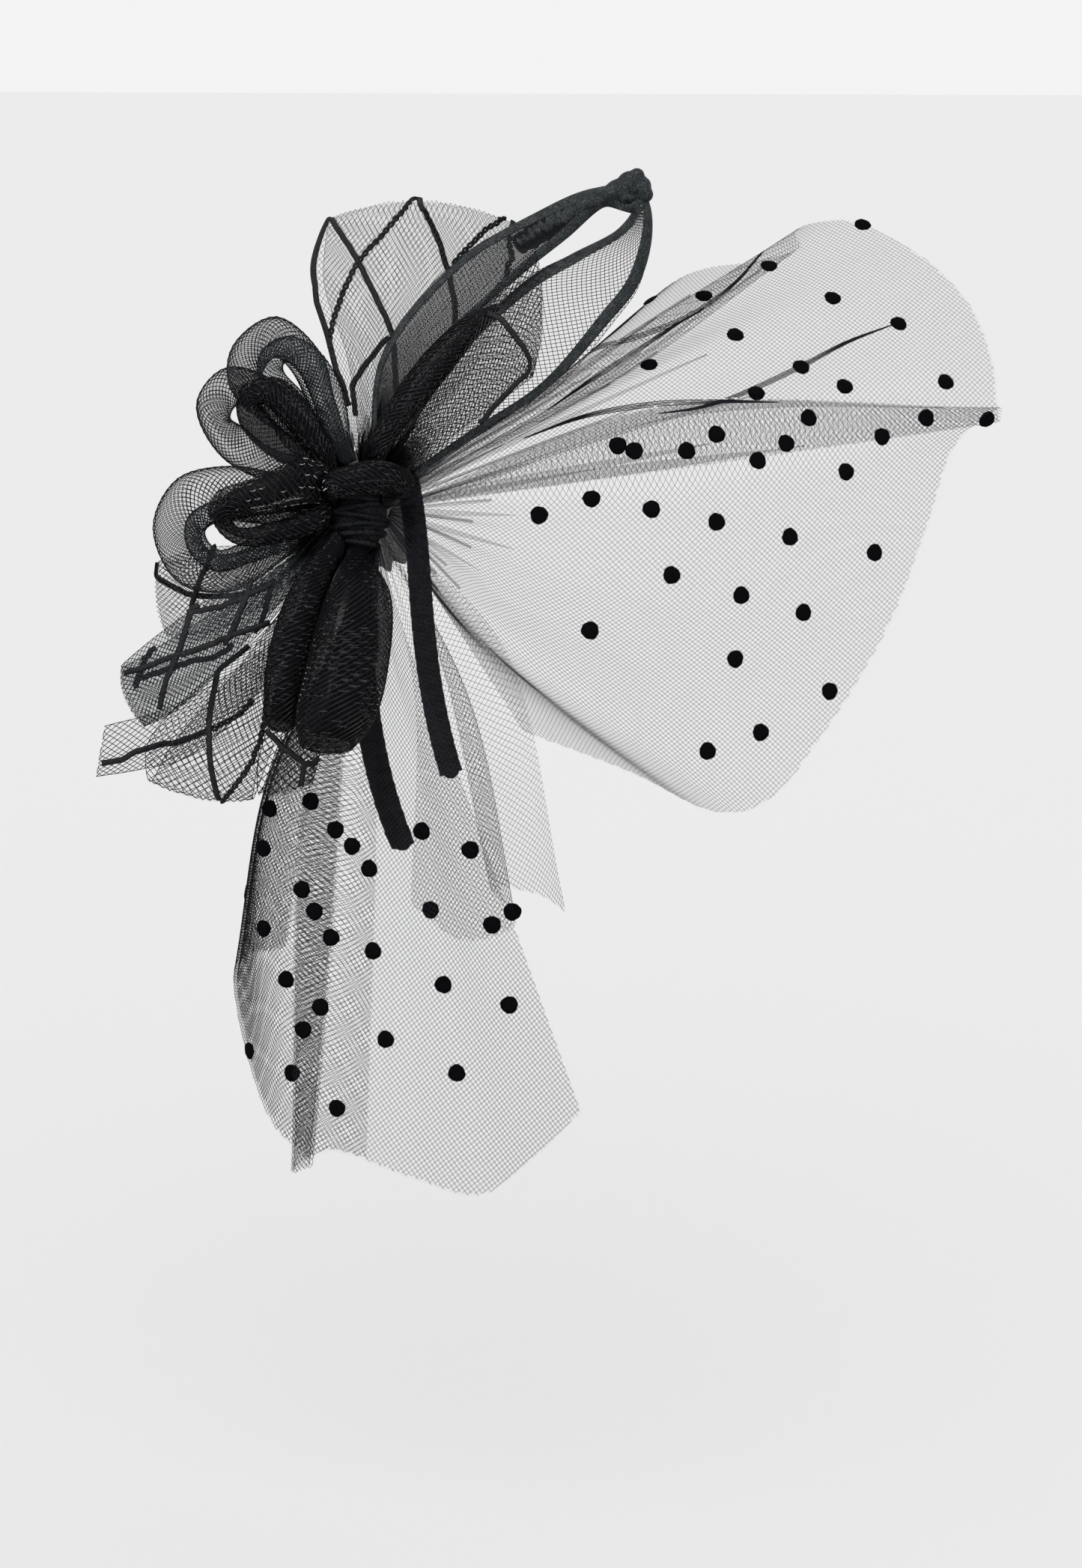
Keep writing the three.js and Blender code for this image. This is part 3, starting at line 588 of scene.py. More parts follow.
class Cloth:
    """A cloth held as a fine grid of points, rows along it and columns across."""

    def __init__(self, points: Array, closed: bool = False) -> None:
        """Take the grid.

        Args:
            points: Array of (row, column, coordinate) in the row frame.
            closed: True where the last column is the first again.
        """
        self.points = points
        self.closed = closed
        along = np.gradient(points, axis=0)
        across = np.gradient(points, axis=1)
        if closed:
            across[:, 0] = across[:, -1] = points[:, 1] - points[:, -2]
        self.normals = unit(np.cross(across, along))

    def lay(self, rows: Array, columns: Array) -> tuple[Array, Array]:
        """Return places and normals at shares of the rows and columns."""
        found = []
        if self.closed:
            columns = columns % 1.0
        height, width = self.points.shape[:2]
        row = np.clip(rows, 0, 1) * (height - 1)
        column = np.clip(columns, 0, 1) * (width - 1)
        low = np.minimum(row.astype(int), height - 2)
        left = np.minimum(column.astype(int), width - 2)
        up = (row - low)[..., None]
        right = (column - left)[..., None]
        for grid in (self.points, self.normals):
            near = grid[low, left] * (1 - right) + grid[low, left + 1] * right
            far = grid[low + 1, left] * (1 - right) + grid[low + 1, left + 1] * right
            found.append(near * (1 - up) + far * up)
        return found[0], unit(found[1])

    def threads(self, rows: Array, columns: Array, inside: Array, lift: float) -> Threads:
        """Return threads through shares of the grid.

        Args:
            rows: Array of (thread, sample) shares of the rows.
            columns: The same for the columns.
            inside: True for the samples that lie on the cloth.
            lift: Height of the threads above the grid.
        """
        wide = inside.copy()
        wide[:, 1:] |= inside[:, :-1]
        wide[:, :-1] |= inside[:, 1:]
        joined = np.zeros_like(wide)
        joined[:, :-1] = wide[:, :-1] & wide[:, 1:] & (inside[:, :-1] | inside[:, 1:])
        used = joined.copy()
        used[:, 1:] |= joined[:, :-1]
        points, normals = self.lay(rows[used], columns[used])
        return Threads(points + lift * normals, normals, joined[used])

    def film(self, name: str, finish: PlainFinish, wall: float = FILM_WALL, skip: int = 2,
             drawn: Place = (0.0, 0.0)) -> Piece:
        """Return the cloth as one closed thin wall.

        Args:
            name: Name of the piece.
            finish: Its finish.
            wall: Thickness of the wall.
            skip: Grid steps to one face of the wall.
            drawn: Shares of the rows between which the mesh is drawn together and darker.
        """
        height, width = self.points.shape[:2]
        rows = sorted({*range(0, height, skip), height - 1})
        columns = sorted({*range(0, width, skip), width - 1})
        pick = np.ix_(rows, columns)
        lift = self.normals[pick] * wall / 2
        points = np.stack([self.points[pick] + lift, self.points[pick] - lift])
        quads = wall_quads(len(rows), len(columns), self.closed)
        row = quads[:, 0] % (len(rows) * len(columns)) // len(columns) / (len(rows) - 1)
        used, quads = np.unique(quads, return_inverse=True)
        sheet = write_mesh(name, points.reshape(-1, 3)[used], [quads.reshape(-1, 4)], finish)
        if drawn[1] > 0:
            sheet.data.materials.append(SLATE_FILM.material())
            marks = ((row >= drawn[0]) & (row <= drawn[1])).astype(np.int32)
            sheet.data.polygons.foreach_set("material_index", marks)
        return sheet

    def declare(self, film: Piece, width: float, length: float, others: list[Piece]) -> None:
        """Args:
            film: The film; not used.
            width: Width of its flat cut, in millimetres; not used.
            length: Length of its flat cut, in millimetres; not used.
            others: The pieces that go with it; not used.
        """


# Crin

class Form(Enum):
    """How a length of crin is made."""

    RIBBON = "flat strip"
    TUBE = "tubular braid"


class CordStyle(Enum):
    """How a cord on the crin looks."""

    CHAIN = "looped like a chain"
    FLAT = "flat braid"


@dataclass(frozen=True)
class Braiding:
    """Sizes of a cord's strands.

    Attributes:
        width: Width of a strand.
        height: Its height.
        sides: Number of its sides.
        phases: Where in its swing each strand starts.
        swing: How far the strands swing to the side.
        rise: How far they swing up and down.
        link: Length of one whole swing.
        lift: Height of the cord's middle above the cloth.
        step: Distance between two samples.
    """

    width: float
    height: float
    sides: int
    phases: tuple[float, ...] = (0.0,)
    swing: float = 0.0
    rise: float = 0.0
    link: float = 6.4
    lift: float = 0.5
    step: float = 0.8


BRAIDINGS = {
    CordStyle.FLAT: Braiding(2.5, 1.1, 8),
    CordStyle.CHAIN: Braiding(1.35, 1.0, 6, (0.0, math.pi), 0.75, 0.35),
}


class Glints(Enum):
    """How the pale short threads that are painted highlights lie on a tube."""

    NONE = "none"
    ACROSS = "round the tube"
    ALONG = "along the tube"


@dataclass(frozen=True)
class Dashes:
    """Sizes of the pale short threads that are painted highlights.

    Attributes:
        row: Distance between two rows of them.
        pitch: Distance between the starts of two in a row.
        long: Length of one.
        bend: How far its middle stands aside.
        lift: Height above the cloth.
        width: Thickness.
        gate: Level of the patches above which they show.
    """

    row: float = 2.3
    pitch: float = 3.6
    long: float = 2.2
    bend: float = 0.25
    lift: float = 0.35
    width: float = 0.34
    gate: float = 0.1


DASHES = Dashes()


@dataclass(frozen=True)
class Weave:
    """A crin mesh.

    Attributes:
        pitch: Distance between two threads of one direction.
        thread: Thickness of a thread.
        angle: Degrees between the threads and the strip's length.
        finish: Finish of the threads.
        film: Finish of the haze between them.
    """

    pitch: float
    thread: float
    angle: float
    finish: PlainFinish
    film: PlainFinish


LATTICE = Weave(1.75, 0.19, 36, CRIN_THREAD, CRIN_FILM)
LOW = Weave(1.95, 0.36, 36, CRIN_THREAD, CRIN_FILM)
COARSE = Weave(2.2, 0.46, 44, DARK_THREAD, CRIN_FILM)
LEAF = Weave(1.9, 0.33, 42, DARK_THREAD, CRIN_FILM)
OPEN = Weave(1.5, 0.29, 38, CRIN_THREAD, CRIN_FILM)
SLATE = Weave(1.45, 0.34, 40, SLATE_THREAD, SLATE_FILM)
PALE = Weave(1.7, 0.26, 40, PALE_THREAD, CRIN_FILM)
CURL = Weave(1.3, 0.33, 42, CRIN_THREAD, CURL_FILM)
RING = Weave(1.3, 0.32, 42, CRIN_THREAD, RING_FILM)
ROLL = Weave(1.3, 0.34, 42, SLATE_THREAD, SLATE_FILM)
GLINT = Weave(1.5, 0.36, 40, DARK_THREAD, DARK_FILM)
CLEAR_GLINT = Weave(1.5, 0.34, 40, DARK_THREAD, TUBE_FILM)


@dataclass(frozen=True)
class Cord:
    """A cord sewn on a strip, along pixels of the photograph.

    Attributes:
        pixels: The pixels that it passes.
        style: How it looks.
        span: Shares of the strip's length between which it lies.
    """

    pixels: tuple[Place, ...]
    style: CordStyle
    span: Place


@dataclass(frozen=True)
class Seat:
    """Where a strip's end is sewn to the knot: a bearing in degrees and a share of its depth."""

    bearing: float
    level: float


@dataclass(frozen=True)
class Section:
    """One section of a strip, in shares of its reach.

    Attributes:
        left: Its left edge, across and up.
        right: Its right edge.
        depth: How far it stands towards the viewer.
        bow: How far its middle bulges.
    """

    left: Place
    right: Place
    depth: float
    bow: float


@dataclass
class CrinStrip:
    """A loop of crin, from its seat on the knot out and back.

    Attributes:
        name: Name of the node that it stands for.
        form: Flat strip or tube.
        reach: Distance from the knot to its far end.
        weave: Its mesh.
        start: Where it begins.
        end: Where it ends, or None for a cut end.
        sections: Its sections, from the start to the end.
        cords: Cords sewn on it.
        selvage: Width of its thick edges where they are widest, or 0.
        selvage_height: Their height.
        widest: Share of the length at which they are widest.
        drawn: Shares of the length between which the mesh is drawn together.
        glints: How its pale short threads, painted highlights, lie on it.
        spread: How far its left and right edges stand out past the solid's.
        replaces: False for a piece that stands for no node of its own.
        gather_length: Length of its pleated ends.
        gather_width: How much wider the pleated ends are than the pinch, each way.
        gather_steps: Number of the pleated ends' rows.
        gather_columns: Number of their columns.
        gather_pleats: Number of their pleats.
        pinch: Half the width of the pleated ends at the knot.
        spacing: Distance between two points of its grid.
        columns: Number of a tube's grid squares round it.
        cloth: Its grid, once it is laid.
        length: Length of its middle line.
        width: The width that three quarters of its sections stay under.
    """

    name: str
    form: Form
    reach: float
    weave: Weave
    start: Seat
    end: Seat | None
    sections: list[Section]
    cords: list[Cord] = field(default_factory=list)
    selvage: float = 0.0
    selvage_height: float = 0.9
    widest: float = 0.56
    drawn: Place = (0.0, 0.0)
    glints: Glints = Glints.NONE
    spread: Place = (0.0, 0.0)
    replaces: bool = True
    gather_length: float = 24.0
    gather_width: float = 4.5
    gather_steps: int = 12
    gather_columns: int = 41
    gather_pleats: int = 4
    pinch: float = 2.4
    spacing: float = 1.4
    columns: int = 24
    cloth: Cloth = field(init=False)
    length: float = field(init=False)
    width: float = field(init=False)

    def sewn_end(self, seat: Seat, near: Array) -> Array:
        """Return the edges of a pinched end, on the same sides as the section next to it."""
        thickness = KNOT.crin_wall * (3 if self.form is Form.TUBE else 1)
        point, rim = KNOT.seat(seat.bearing, seat.level, thickness)
        first = point + KNOT.seat_half_width * rim
        second = point - KNOT.seat_half_width * rim
        straight = np.linalg.norm(first - near[0]) + np.linalg.norm(second - near[1])
        crossed = np.linalg.norm(first - near[1]) + np.linalg.norm(second - near[0])
        return np.array([first, second] if straight <= crossed else [second, first])

    def edges(self) -> tuple[Array, Array]:
        """Return the edge points and the bow of each section, in the flower frame."""
        edges = [np.array([[*s.left, s.depth], [*s.right, s.depth]]) * self.reach
                 for s in self.sections]
        bows = [s.bow * self.reach for s in self.sections]
        edges.insert(0, self.sewn_end(self.start, edges[0]))
        bows.insert(0, 0.0)
        if self.end:
            edges.append(self.sewn_end(self.end, edges[-1]))
            bows.append(0.0)
        return np.array(edges), np.array(bows)

    def lay_cloth(self) -> None:
        """Work out the strip's grid, evenly spaced along it."""
        edges, bows = self.edges()
        rails = Rail(edges)
        bulge = Rail(np.stack([np.arange(len(bows)), bows], axis=1))
        ruler = np.linspace(0, 1, 400)
        middle = rails.at(ruler).mean(axis=1)
        lengths = running(middle)
        self.length = float(lengths[-1])
        rows = max(8, round(self.length / self.spacing))
        places = np.interp(np.linspace(0, self.length, rows + 1), lengths, ruler)
        both = rails.at(places)
        bow = bulge.at(places)[:, 1]
        centre = both.mean(axis=1)
        half = (both[:, 1] - both[:, 0]) / 2
        normal = unit(np.cross(half, np.gradient(centre, axis=0)))
        self.width = float(2 * np.percentile(np.linalg.norm(half, axis=1), 75))
        tube = self.form is Form.TUBE
        grid = (self.tube_grid if tube else self.ribbon_grid)(centre, half, normal, bow)
        self.cloth = Cloth(FLOWER.to_row(grid), closed=tube)

    def ribbon_grid(self, centre: Array, half: Array, normal: Array, bow: Array) -> Array:
        """Return the grid of a flat strip whose middle bulges."""
        columns = max(6, round(self.width / self.spacing))
        across = np.linspace(-1, 1, columns + 1)[:, None]
        out = np.where(across < 0, *self.spread) * np.abs(across)
        width = np.linalg.norm(half, axis=1)[:, None, None]
        wide = np.minimum(width / width.max() * 1.5, 1.0) * out / width * np.sign(across)
        return (centre[:, None] + half[:, None] * (across + wide)
                + normal[:, None] * (bow[:, None] * (1 - across[:, 0] ** 2))[..., None])

    def tube_grid(self, centre: Array, half: Array, normal: Array, bow: Array) -> Array:
        """Return the grid of a flattened tube."""
        angles = np.linspace(0, 2 * math.pi, self.columns + 1)
        width = np.linalg.norm(half, axis=1)
        depth = np.maximum(bow, KNOT.crin_wall)
        return (centre[:, None]
                + unit(half)[:, None] * (np.cos(angles) * width[:, None])[..., None]
                + normal[:, None] * (np.sin(angles) * depth[:, None])[..., None])

    def ribbon_net(self) -> Threads:
        """Return the threads of a flat braid, which turn back at its edges."""
        slope = math.radians(self.weave.angle)
        crossing = self.width / math.tan(slope)
        count = max(2, round(crossing * math.sin(slope) / self.weave.pitch))
        step = crossing / count
        starts = np.arange(-count, math.ceil(self.length / step)) * step
        samples = max(3, math.ceil(crossing / math.cos(slope) / FLAT_STEP))
        share = np.linspace(0, 1, samples + 1)
        along = starts[:, None] + share * crossing
        across = np.broadcast_to(share, along.shape)
        rows = along / self.length
        sets = []
        lift = OVERLAP * self.weave.thread
        inside = (rows >= 0) & (rows <= 1)
        low, high = self.drawn
        for turn, shift in ((1, 0.0), (-1, 0.0), (1, 0.5), (-1, 0.5)):
            moved = rows + shift * step / self.length
            if shift:
                inside = (moved >= low) & (moved <= high)
            if inside.any():
                sides = across if turn > 0 else 1 - across
                sets.append(self.cloth.threads(moved, sides, inside, turn * lift))
        edge = np.linspace(0, 1, round(self.length / 2))[None]
        for side in (0.0, 1.0):
            sets.append(self.cloth.threads(edge, np.full_like(edge, side), edge >= 0, 0.0))
        return Threads.together(sets)

    @property
    def girth(self) -> float:
        """Length round the tube at its middle."""
        return float(running(self.cloth.points[len(self.cloth.points) // 2])[-1])

    def tube_net(self) -> Threads:
        """Return the threads of a tubular braid, which wind both ways round it."""
        slope = math.radians(self.weave.angle)
        count = max(8, round(self.girth * math.cos(slope) / self.weave.pitch))
        samples = math.ceil(self.length / ROUND_STEP)
        share = np.linspace(0, 1, samples + 1)
        turns = share * self.length * math.tan(slope) / self.girth
        starts = np.arange(count)[:, None] / count
        rows = np.broadcast_to(share, (count, samples + 1))
        inside = np.ones(rows.shape, dtype=bool)
        lift = OVERLAP * self.weave.thread
        return Threads.together([
            self.cloth.threads(rows, starts + turn * turns, inside, turn * lift)
            for turn in (1, -1)])

    def net(self) -> Piece:
        """Make the strip's mesh of threads."""
        threads = self.tube_net() if self.form is Form.TUBE else self.ribbon_net()
        points, faces = threads.tubes(self.weave.thread, self.weave.thread, THREAD_SIDES)
        return write_mesh(f"{self.name}_net", points, faces, self.weave.finish)

    def route(self, cord: Cord) -> tuple[Array, Array]:
        """Return the shares of rows and columns that a cord passes."""
        height, width = self.cloth.points.shape[:2]
        low, high = (round(share * (height - 1)) for share in cord.span)
        seen = VIEW.pixels(self.cloth.points[low:high + 1])
        places = []
        for pixel in Rail(np.array(cord.pixels, dtype=float)).at(ROUTE_SHARES):
            away = np.linalg.norm(seen - pixel, axis=-1)
            if places:
                away += np.abs(np.arange(len(seen)) - row)[:, None]
            row, column = np.unravel_index(away.argmin(), away.shape)
            places.append([(row + low) / (height - 1), column / (width - 1)])
        pad = ROUTE_BLUR // 2
        line = np.concatenate([places[:1] * pad, places, places[-1:] * pad])
        line = sum(line[step:len(places) + step] for step in range(ROUTE_BLUR)) / ROUTE_BLUR
        line = Rail(line).at(np.linspace(0, 1, ROUTE_SAMPLES))
        return line[:, 0], line[:, 1]

    def cord_threads(self, rows: Array, columns: Array, style: CordStyle) -> Threads:
        """Return the strands of a cord that is sewn on the strip.

        Args:
            rows: Shares of the rows that it passes.
            columns: Shares of the columns.
            style: How it looks.
        """
        braid = BRAIDINGS[style]
        points, normals = self.cloth.lay(rows, columns)
        line = points + braid.lift * normals
        lengths = running(line)
        even = np.linspace(0, lengths[-1], max(8, round(lengths[-1] / braid.step)) + 1)
        line, normals = (
            np.stack([np.interp(even, lengths, values[:, axis]) for axis in range(3)], axis=1)
            for values in (line, normals))
        normals = unit(normals)
        side = unit(np.cross(np.gradient(line, axis=0), normals))
        wave = (2 * math.pi * even / braid.link)[:, None]
        return Threads.together([
            Threads.line(line + braid.swing * np.sin(wave + phase) * side
                         + braid.rise * np.cos(wave + phase) * normals, normals)
            for phase in braid.phases])

    def make_cords(self) -> list[Piece]:
        """Make the cords, one piece for each style."""
        pieces = []
        for style, braid in BRAIDINGS.items():
            chosen = [self.cord_threads(*self.route(cord), style)
                      for cord in self.cords if cord.style is style]
            for threads in chosen:
                steps = np.linalg.norm(np.diff(threads.points, axis=0), axis=1)
                long = steps[threads.joined[:-1]].sum() / len(braid.phases)
                log.info("%s: %s cord of %.0f mm", self.name, style.value, long)
            if chosen:
                points, faces = Threads.together(chosen).tubes(
                    braid.width, braid.height, braid.sides)
                name = f"{self.name}_{style.name.lower()}_cords"
                pieces.append(write_mesh(name, points, faces, CORD_BRAID))
        return pieces

    def make_painted_glints(self) -> list[Piece]:
        """Make the rows of pale short threads that are painted highlights."""
        if self.glints is Glints.NONE:
            return []
        across = self.glints is Glints.ACROSS
        run, step = (self.girth, self.length) if across else (self.length, self.girth)
        line, place = np.meshgrid(np.arange(round(step / DASHES.row)),
                                  np.arange(round(run / DASHES.pitch)))
        patch = np.sin(0.31 * line + 2 * np.sin(0.7 * place)) + np.sin(1.9 * place + 0.8 * line)
        shown = patch > DASHES.gate
        line, place = line[shown][:, None], place[shown][:, None]
        dash = (place + 0.5 * (line % 2)) * DASHES.pitch + np.linspace(0, DASHES.long, 3)
        shift = np.array([0.0, DASHES.bend, 0.0]) + (line + 0.5) * DASHES.row
        rows, columns = (shift, dash) if across else (dash, shift)
        rows, columns = rows / self.length, columns / self.girth
        threads = self.cloth.threads(rows, columns, rows < 1, DASHES.lift)
        points, faces = threads.tubes(DASHES.width, DASHES.width, THREAD_SIDES)
        return [write_mesh(f"{self.name}_glints", points, faces, PAINTED_GLINT_THREAD)]

    def gather(self, at_end: bool, reach: float) -> Array:
        """Return the grid of one pleated end, fuller than the pinch that it hides.

        Args:
            at_end: True for the end that comes back to the knot.
            reach: Its length at the longest pleat.
        """
        steps, pleats = self.gather_steps, self.gather_pleats
        distance = np.linspace(1.0, reach, steps)
        share = distance / self.length
        rows = 1 - share if at_end else share
        faces = (0.25, 0.75) if self.form is Form.TUBE else (0.5,)
        laid = [self.cloth.lay(rows, np.full(steps, face)) for face in faces]
        centre, normal = sum(points for points, _ in laid) / len(laid), laid[0][1]
        tangent = unit(np.gradient(centre, axis=0))
        side = unit(np.cross(tangent, normal))
        grow = distance / reach
        half = self.pinch + self.gather_width * np.sin(grow * math.pi * 0.7)
        across = np.linspace(-1, 1, self.gather_columns)
        fold = np.sin(across * math.pi * pleats + self.reach)[None] * (0.5 + 1.1 * grow[:, None])
        hollow = -1.6 * grow[:, None] * across[None] ** 2
        grid = (centre[:, None] + side[:, None] * (half[:, None] * across)[..., None]
                + normal[:, None] * (fold + hollow)[..., None])
        tooth = np.abs((across * pleats * 1.5 + 0.3 * np.sin(9 * across)) % 2 - 1)
        length = (0.45 + 0.55 * tooth) * (1 - 0.35 * across ** 2)
        places = np.linspace(0, 1, steps)[:, None] * length * (steps - 1)
        low = np.minimum(places.astype(int), steps - 2)
        part = (places - low)[..., None]
        columns = np.arange(len(across))
        return grid[low, columns] * (1 - part) + grid[low + 1, columns] * part

    def make_gathers(self) -> list[Piece]:
        """Make the pleated ends at the knot."""
        made = []
        ends = ("start", "end") if self.end else ("start",)
        for side in ends if self.replaces else ():
            at_end = side == "end"
            for part, reach, finish in (("gather", 0.75, GATHER_FILM), ("pleats", 1.3, HAZE_FILM)):
                cloth = Cloth(self.gather(at_end, reach * self.gather_length))
                made.append(cloth.film(f"{self.name}_{part}_{side}", finish, skip=1))
        return made

    def make_selvage(self) -> list[Piece]:
        """Make the two thick edges of the strip."""
        if not self.selvage:
            return []
        inset = self.selvage / 2 / self.width
        share = np.linspace(0.03, 0.97, max(8, round(self.length / 2.0)))
        edges = [Threads.line(*self.cloth.lay(share, np.full(len(share), column)))
                 for column in (inset, 1 - inset)]
        taper = 0.45 + 0.55 * np.exp(-((share - self.widest) / 0.2) ** 2)
        points, faces = Threads.together(edges).tubes(
            self.selvage * np.tile(taper, 2), self.selvage_height, 12)
        return [write_mesh(f"{self.name}_selvage", points, faces, SELVAGE_BRAID)]

    def build(self) -> None:
        self.lay_cloth()
        film = self.cloth.film(f"{self.name}_film", self.weave.film, drawn=self.drawn)
        others = [self.net(), *self.make_painted_glints(), *self.make_gathers(), *self.make_cords(),
                  *self.make_selvage()]
        for piece in (film, *others):
            seat_piece(piece, "crin", *([self.name] if self.replaces else []))
        around = 2 if self.form is Form.TUBE else 1
        self.cloth.declare(film, around * self.width, self.length, others)


def flat(span: Place, *pixels: Place) -> Cord:
    """Return a flat cord along pixels of the photograph."""
    return Cord(pixels, CordStyle.FLAT, span)


def chain(span: Place, *pixels: Place) -> Cord:
    """Return a cord looped like a chain, along pixels of the photograph."""
    return Cord(pixels, CordStyle.CHAIN, span)


def sections(*rows: Sextuple) -> list[Section]:
    """Return sections from rows of left x, left y, right x, right y, depth and bow."""
    return [Section((a, b), (c, d), depth, bow) for a, b, c, d, depth, bow in rows]


def upper_loops() -> list[CrinStrip]:
    """Return the three loops above the knot."""
    tall = CrinStrip(
        "tall_lattice_loop", Form.RIBBON, 130, LATTICE, Seat(84, -0.32), Seat(78, -0.75),
        sections(
            (-0.10, 0.54, 0.36, 0.46, -0.06, 0.02), (-0.16, 0.77, 0.47, 0.73, -0.06, 0.03),
            (-0.11, 0.94, 0.48, 0.93, -0.13, 0.07), (-0.13, 0.76, 0.45, 0.75, -0.22, 0.04),
            (-0.05, 0.50, 0.28, 0.48, -0.19, 0.03),
        ),
        cords=[
            chain(NEAR_HALF, (438, 470), (445, 430), (460, 388), (481, 348), (519, 305), (556, 262)),
            flat(NEAR_HALF, (529, 545), (527, 474), (523, 442), (505, 401), (477, 347), (441, 291)),
            flat((0.48, 0.95), (604, 445), (608, 423), (604, 388), (596, 353), (577, 303),
                 (563, 276)),
            chain((0.48, 0.95), (604, 353), (630, 324), (655, 302), (676, 290)),
            flat(NEAR_HALF, (566, 284), (561, 272), (556, 264)),
            chain(NEAR_HALF, (676, 369), (682, 343), (681, 318), (685, 290)),
            flat(NEAR_HALF, (466, 545), (458, 515), (446, 485), (434, 450), (424, 410), (421, 375),
                 (423, 340), (430, 311), (441, 291)),
            flat((0.5, 0.97), (521, 448), (496, 477), (476, 506), (465, 528), (463, 560)),
        ])
    pointed = CrinStrip(
        "pointed_loop", Form.RIBBON, 175, OPEN, Seat(66, 0.10), Seat(44, -0.30),
        sections(
            (0.05, 0.35, 0.13, 0.30, 0.02, 0.01), (0.23, 0.58, 0.33, 0.50, 0.02, 0.01),
            (0.42, 0.69, 0.48, 0.63, 0.02, 0.01), (0.555, 0.745, 0.575, 0.715, 0.01, 0.01),
            (0.64, 0.745, 0.62, 0.71, 0.00, 0.00), (0.67, 0.72, 0.645, 0.70, 0.00, 0.01),
            (0.68, 0.645, 0.61, 0.655, -0.01, 0.02), (0.655, 0.525, 0.49, 0.595, -0.01, 0.03),
            (0.595, 0.44, 0.385, 0.54, -0.01, 0.02), (0.455, 0.28, 0.23, 0.40, -0.01, 0.01),
            (0.29, 0.18, 0.125, 0.24, -0.01, 0.01),
        ),
        selvage=6.0, drawn=(0.0, 0.5))
    leaf = CrinStrip(
        "front_leaf_loop", Form.RIBBON, 125, LEAF, Seat(56, 0.60), Seat(36, 0.22),
        sections(
            (0.14, 0.32, 0.27, 0.17, 0.12, 0.02), (0.32, 0.53, 0.44, 0.30, 0.16, 0.04),
            (0.48, 0.74, 0.54, 0.40, 0.16, 0.05), (0.58, 0.83, 0.57, 0.42, 0.12, 0.03),
            (0.50, 0.73, 0.50, 0.37, 0.08, 0.01), (0.29, 0.50, 0.32, 0.24, 0.08, 0.01),
        ),
        cords=[
            flat(NEAR_HALF, (652, 417), (671, 428), (690, 452), (706, 477), (706, 492), (681, 519),
                 (652, 551), (640, 568)),
        ])
    return [tall, pointed, leaf]


def curls() -> list[CrinStrip]:
    """Return the four tubular curls left of the knot."""
    upper = CrinStrip(
        "upper_curl", Form.TUBE, 85, CURL, Seat(104, 0.02), Seat(120, -0.35),
        sections(
            (-0.24, 0.49, -0.12, 0.53, -0.02, 0.04), (-0.33, 0.67, -0.19, 0.76, -0.04, 0.05),
            (-0.41, 0.74, -0.41, 0.94, -0.06, 0.05), (-0.47, 0.68, -0.62, 0.80, -0.08, 0.05),
            (-0.47, 0.61, -0.64, 0.61, -0.10, 0.05), (-0.40, 0.55, -0.50, 0.45, -0.12, 0.05),
            (-0.24, 0.42, -0.28, 0.32, -0.11, 0.04),
        ))
    left = CrinStrip(
        "left_curl", Form.TUBE, 78, CURL, Seat(130, 0.10), Seat(148, 0.52),
        sections(
            (-0.38, 0.32, -0.26, 0.42, 0.02, 0.04), (-0.51, 0.49, -0.46, 0.68, 0.02, 0.05),
            (-0.64, 0.54, -0.70, 0.74, 0.03, 0.05), (-0.67, 0.47, -0.85, 0.55, 0.06, 0.05),
            (-0.60, 0.42, -0.73, 0.28, 0.09, 0.05), (-0.46, 0.31, -0.49, 0.14, 0.11, 0.05),
            (-0.26, 0.24, -0.26, 0.12, 0.10, 0.04),
        ))
    ring = CrinStrip(
        "ring_curl", Form.TUBE, 85, RING, Seat(163, -0.10), Seat(203, -0.42),
        sections(
            (-0.33, -0.01, -0.33, 0.15, -0.01, 0.04), (-0.62, -0.05, -0.61, 0.21, -0.01, 0.05),
            (-0.72, -0.07, -0.88, 0.15, -0.02, 0.05), (-0.765, -0.13, -1.0, -0.08, -0.03, 0.05),
            (-0.72, -0.20, -0.88, -0.35, -0.05, 0.05), (-0.64, -0.21, -0.61, -0.39, -0.07, 0.05),
            (-0.40, -0.12, -0.35, -0.22, -0.08, 0.04),
        ))
    front = CrinStrip(
        "front_tube_loop", Form.TUBE, 62, CLEAR_GLINT, Seat(160, 0.80), Seat(184, 0.35),
        sections(
            (-0.32, 0.00, -0.32, 0.31, 0.29, 0.05), (-0.61, -0.05, -0.61, 0.19, 0.31, 0.05),
            (-0.95, -0.10, -0.92, 0.08, 0.21, 0.04), (-0.71, -0.21, -0.74, -0.02, 0.09, 0.04),
            (-0.39, -0.15, -0.39, 0.05, 0.09, 0.04),
        ),
        glints=Glints.ALONG)
    return [upper, left, ring, front]


def rolled_edge(name: str, start: Seat, end: Seat | None, weave: Weave,
                *bends: tuple[float, float, float, float]) -> CrinStrip:
    """Return a rolled edge of a curl or leaf.

    Args:
        name: Name of the piece.
        start: Where it leaves the knot.
        end: Where it comes back, or None where it runs out.
        weave: Its mesh.
        bends: Rows of pixel right, pixel down, depth and width.
    """
    places = np.array([VIEW.place((right, down), depth) for right, down, depth, _ in bends])
    along = np.gradient(places[:, :2], axis=0)
    side = unit(np.stack([-along[:, 1], along[:, 0]], axis=1))
    rolled = []
    for (_, _, depth, width), place, across in zip(bends, places, side):
        left = place[:2] + across * width / 2
        right = place[:2] - across * width / 2
        rolled.append(Section(tuple(left), tuple(right), depth, 0.36 * width))
    return CrinStrip(name, Form.TUBE, 1.0, weave, start, end, rolled,
                     glints=Glints.ALONG if weave is GLINT else Glints.NONE, replaces=False)


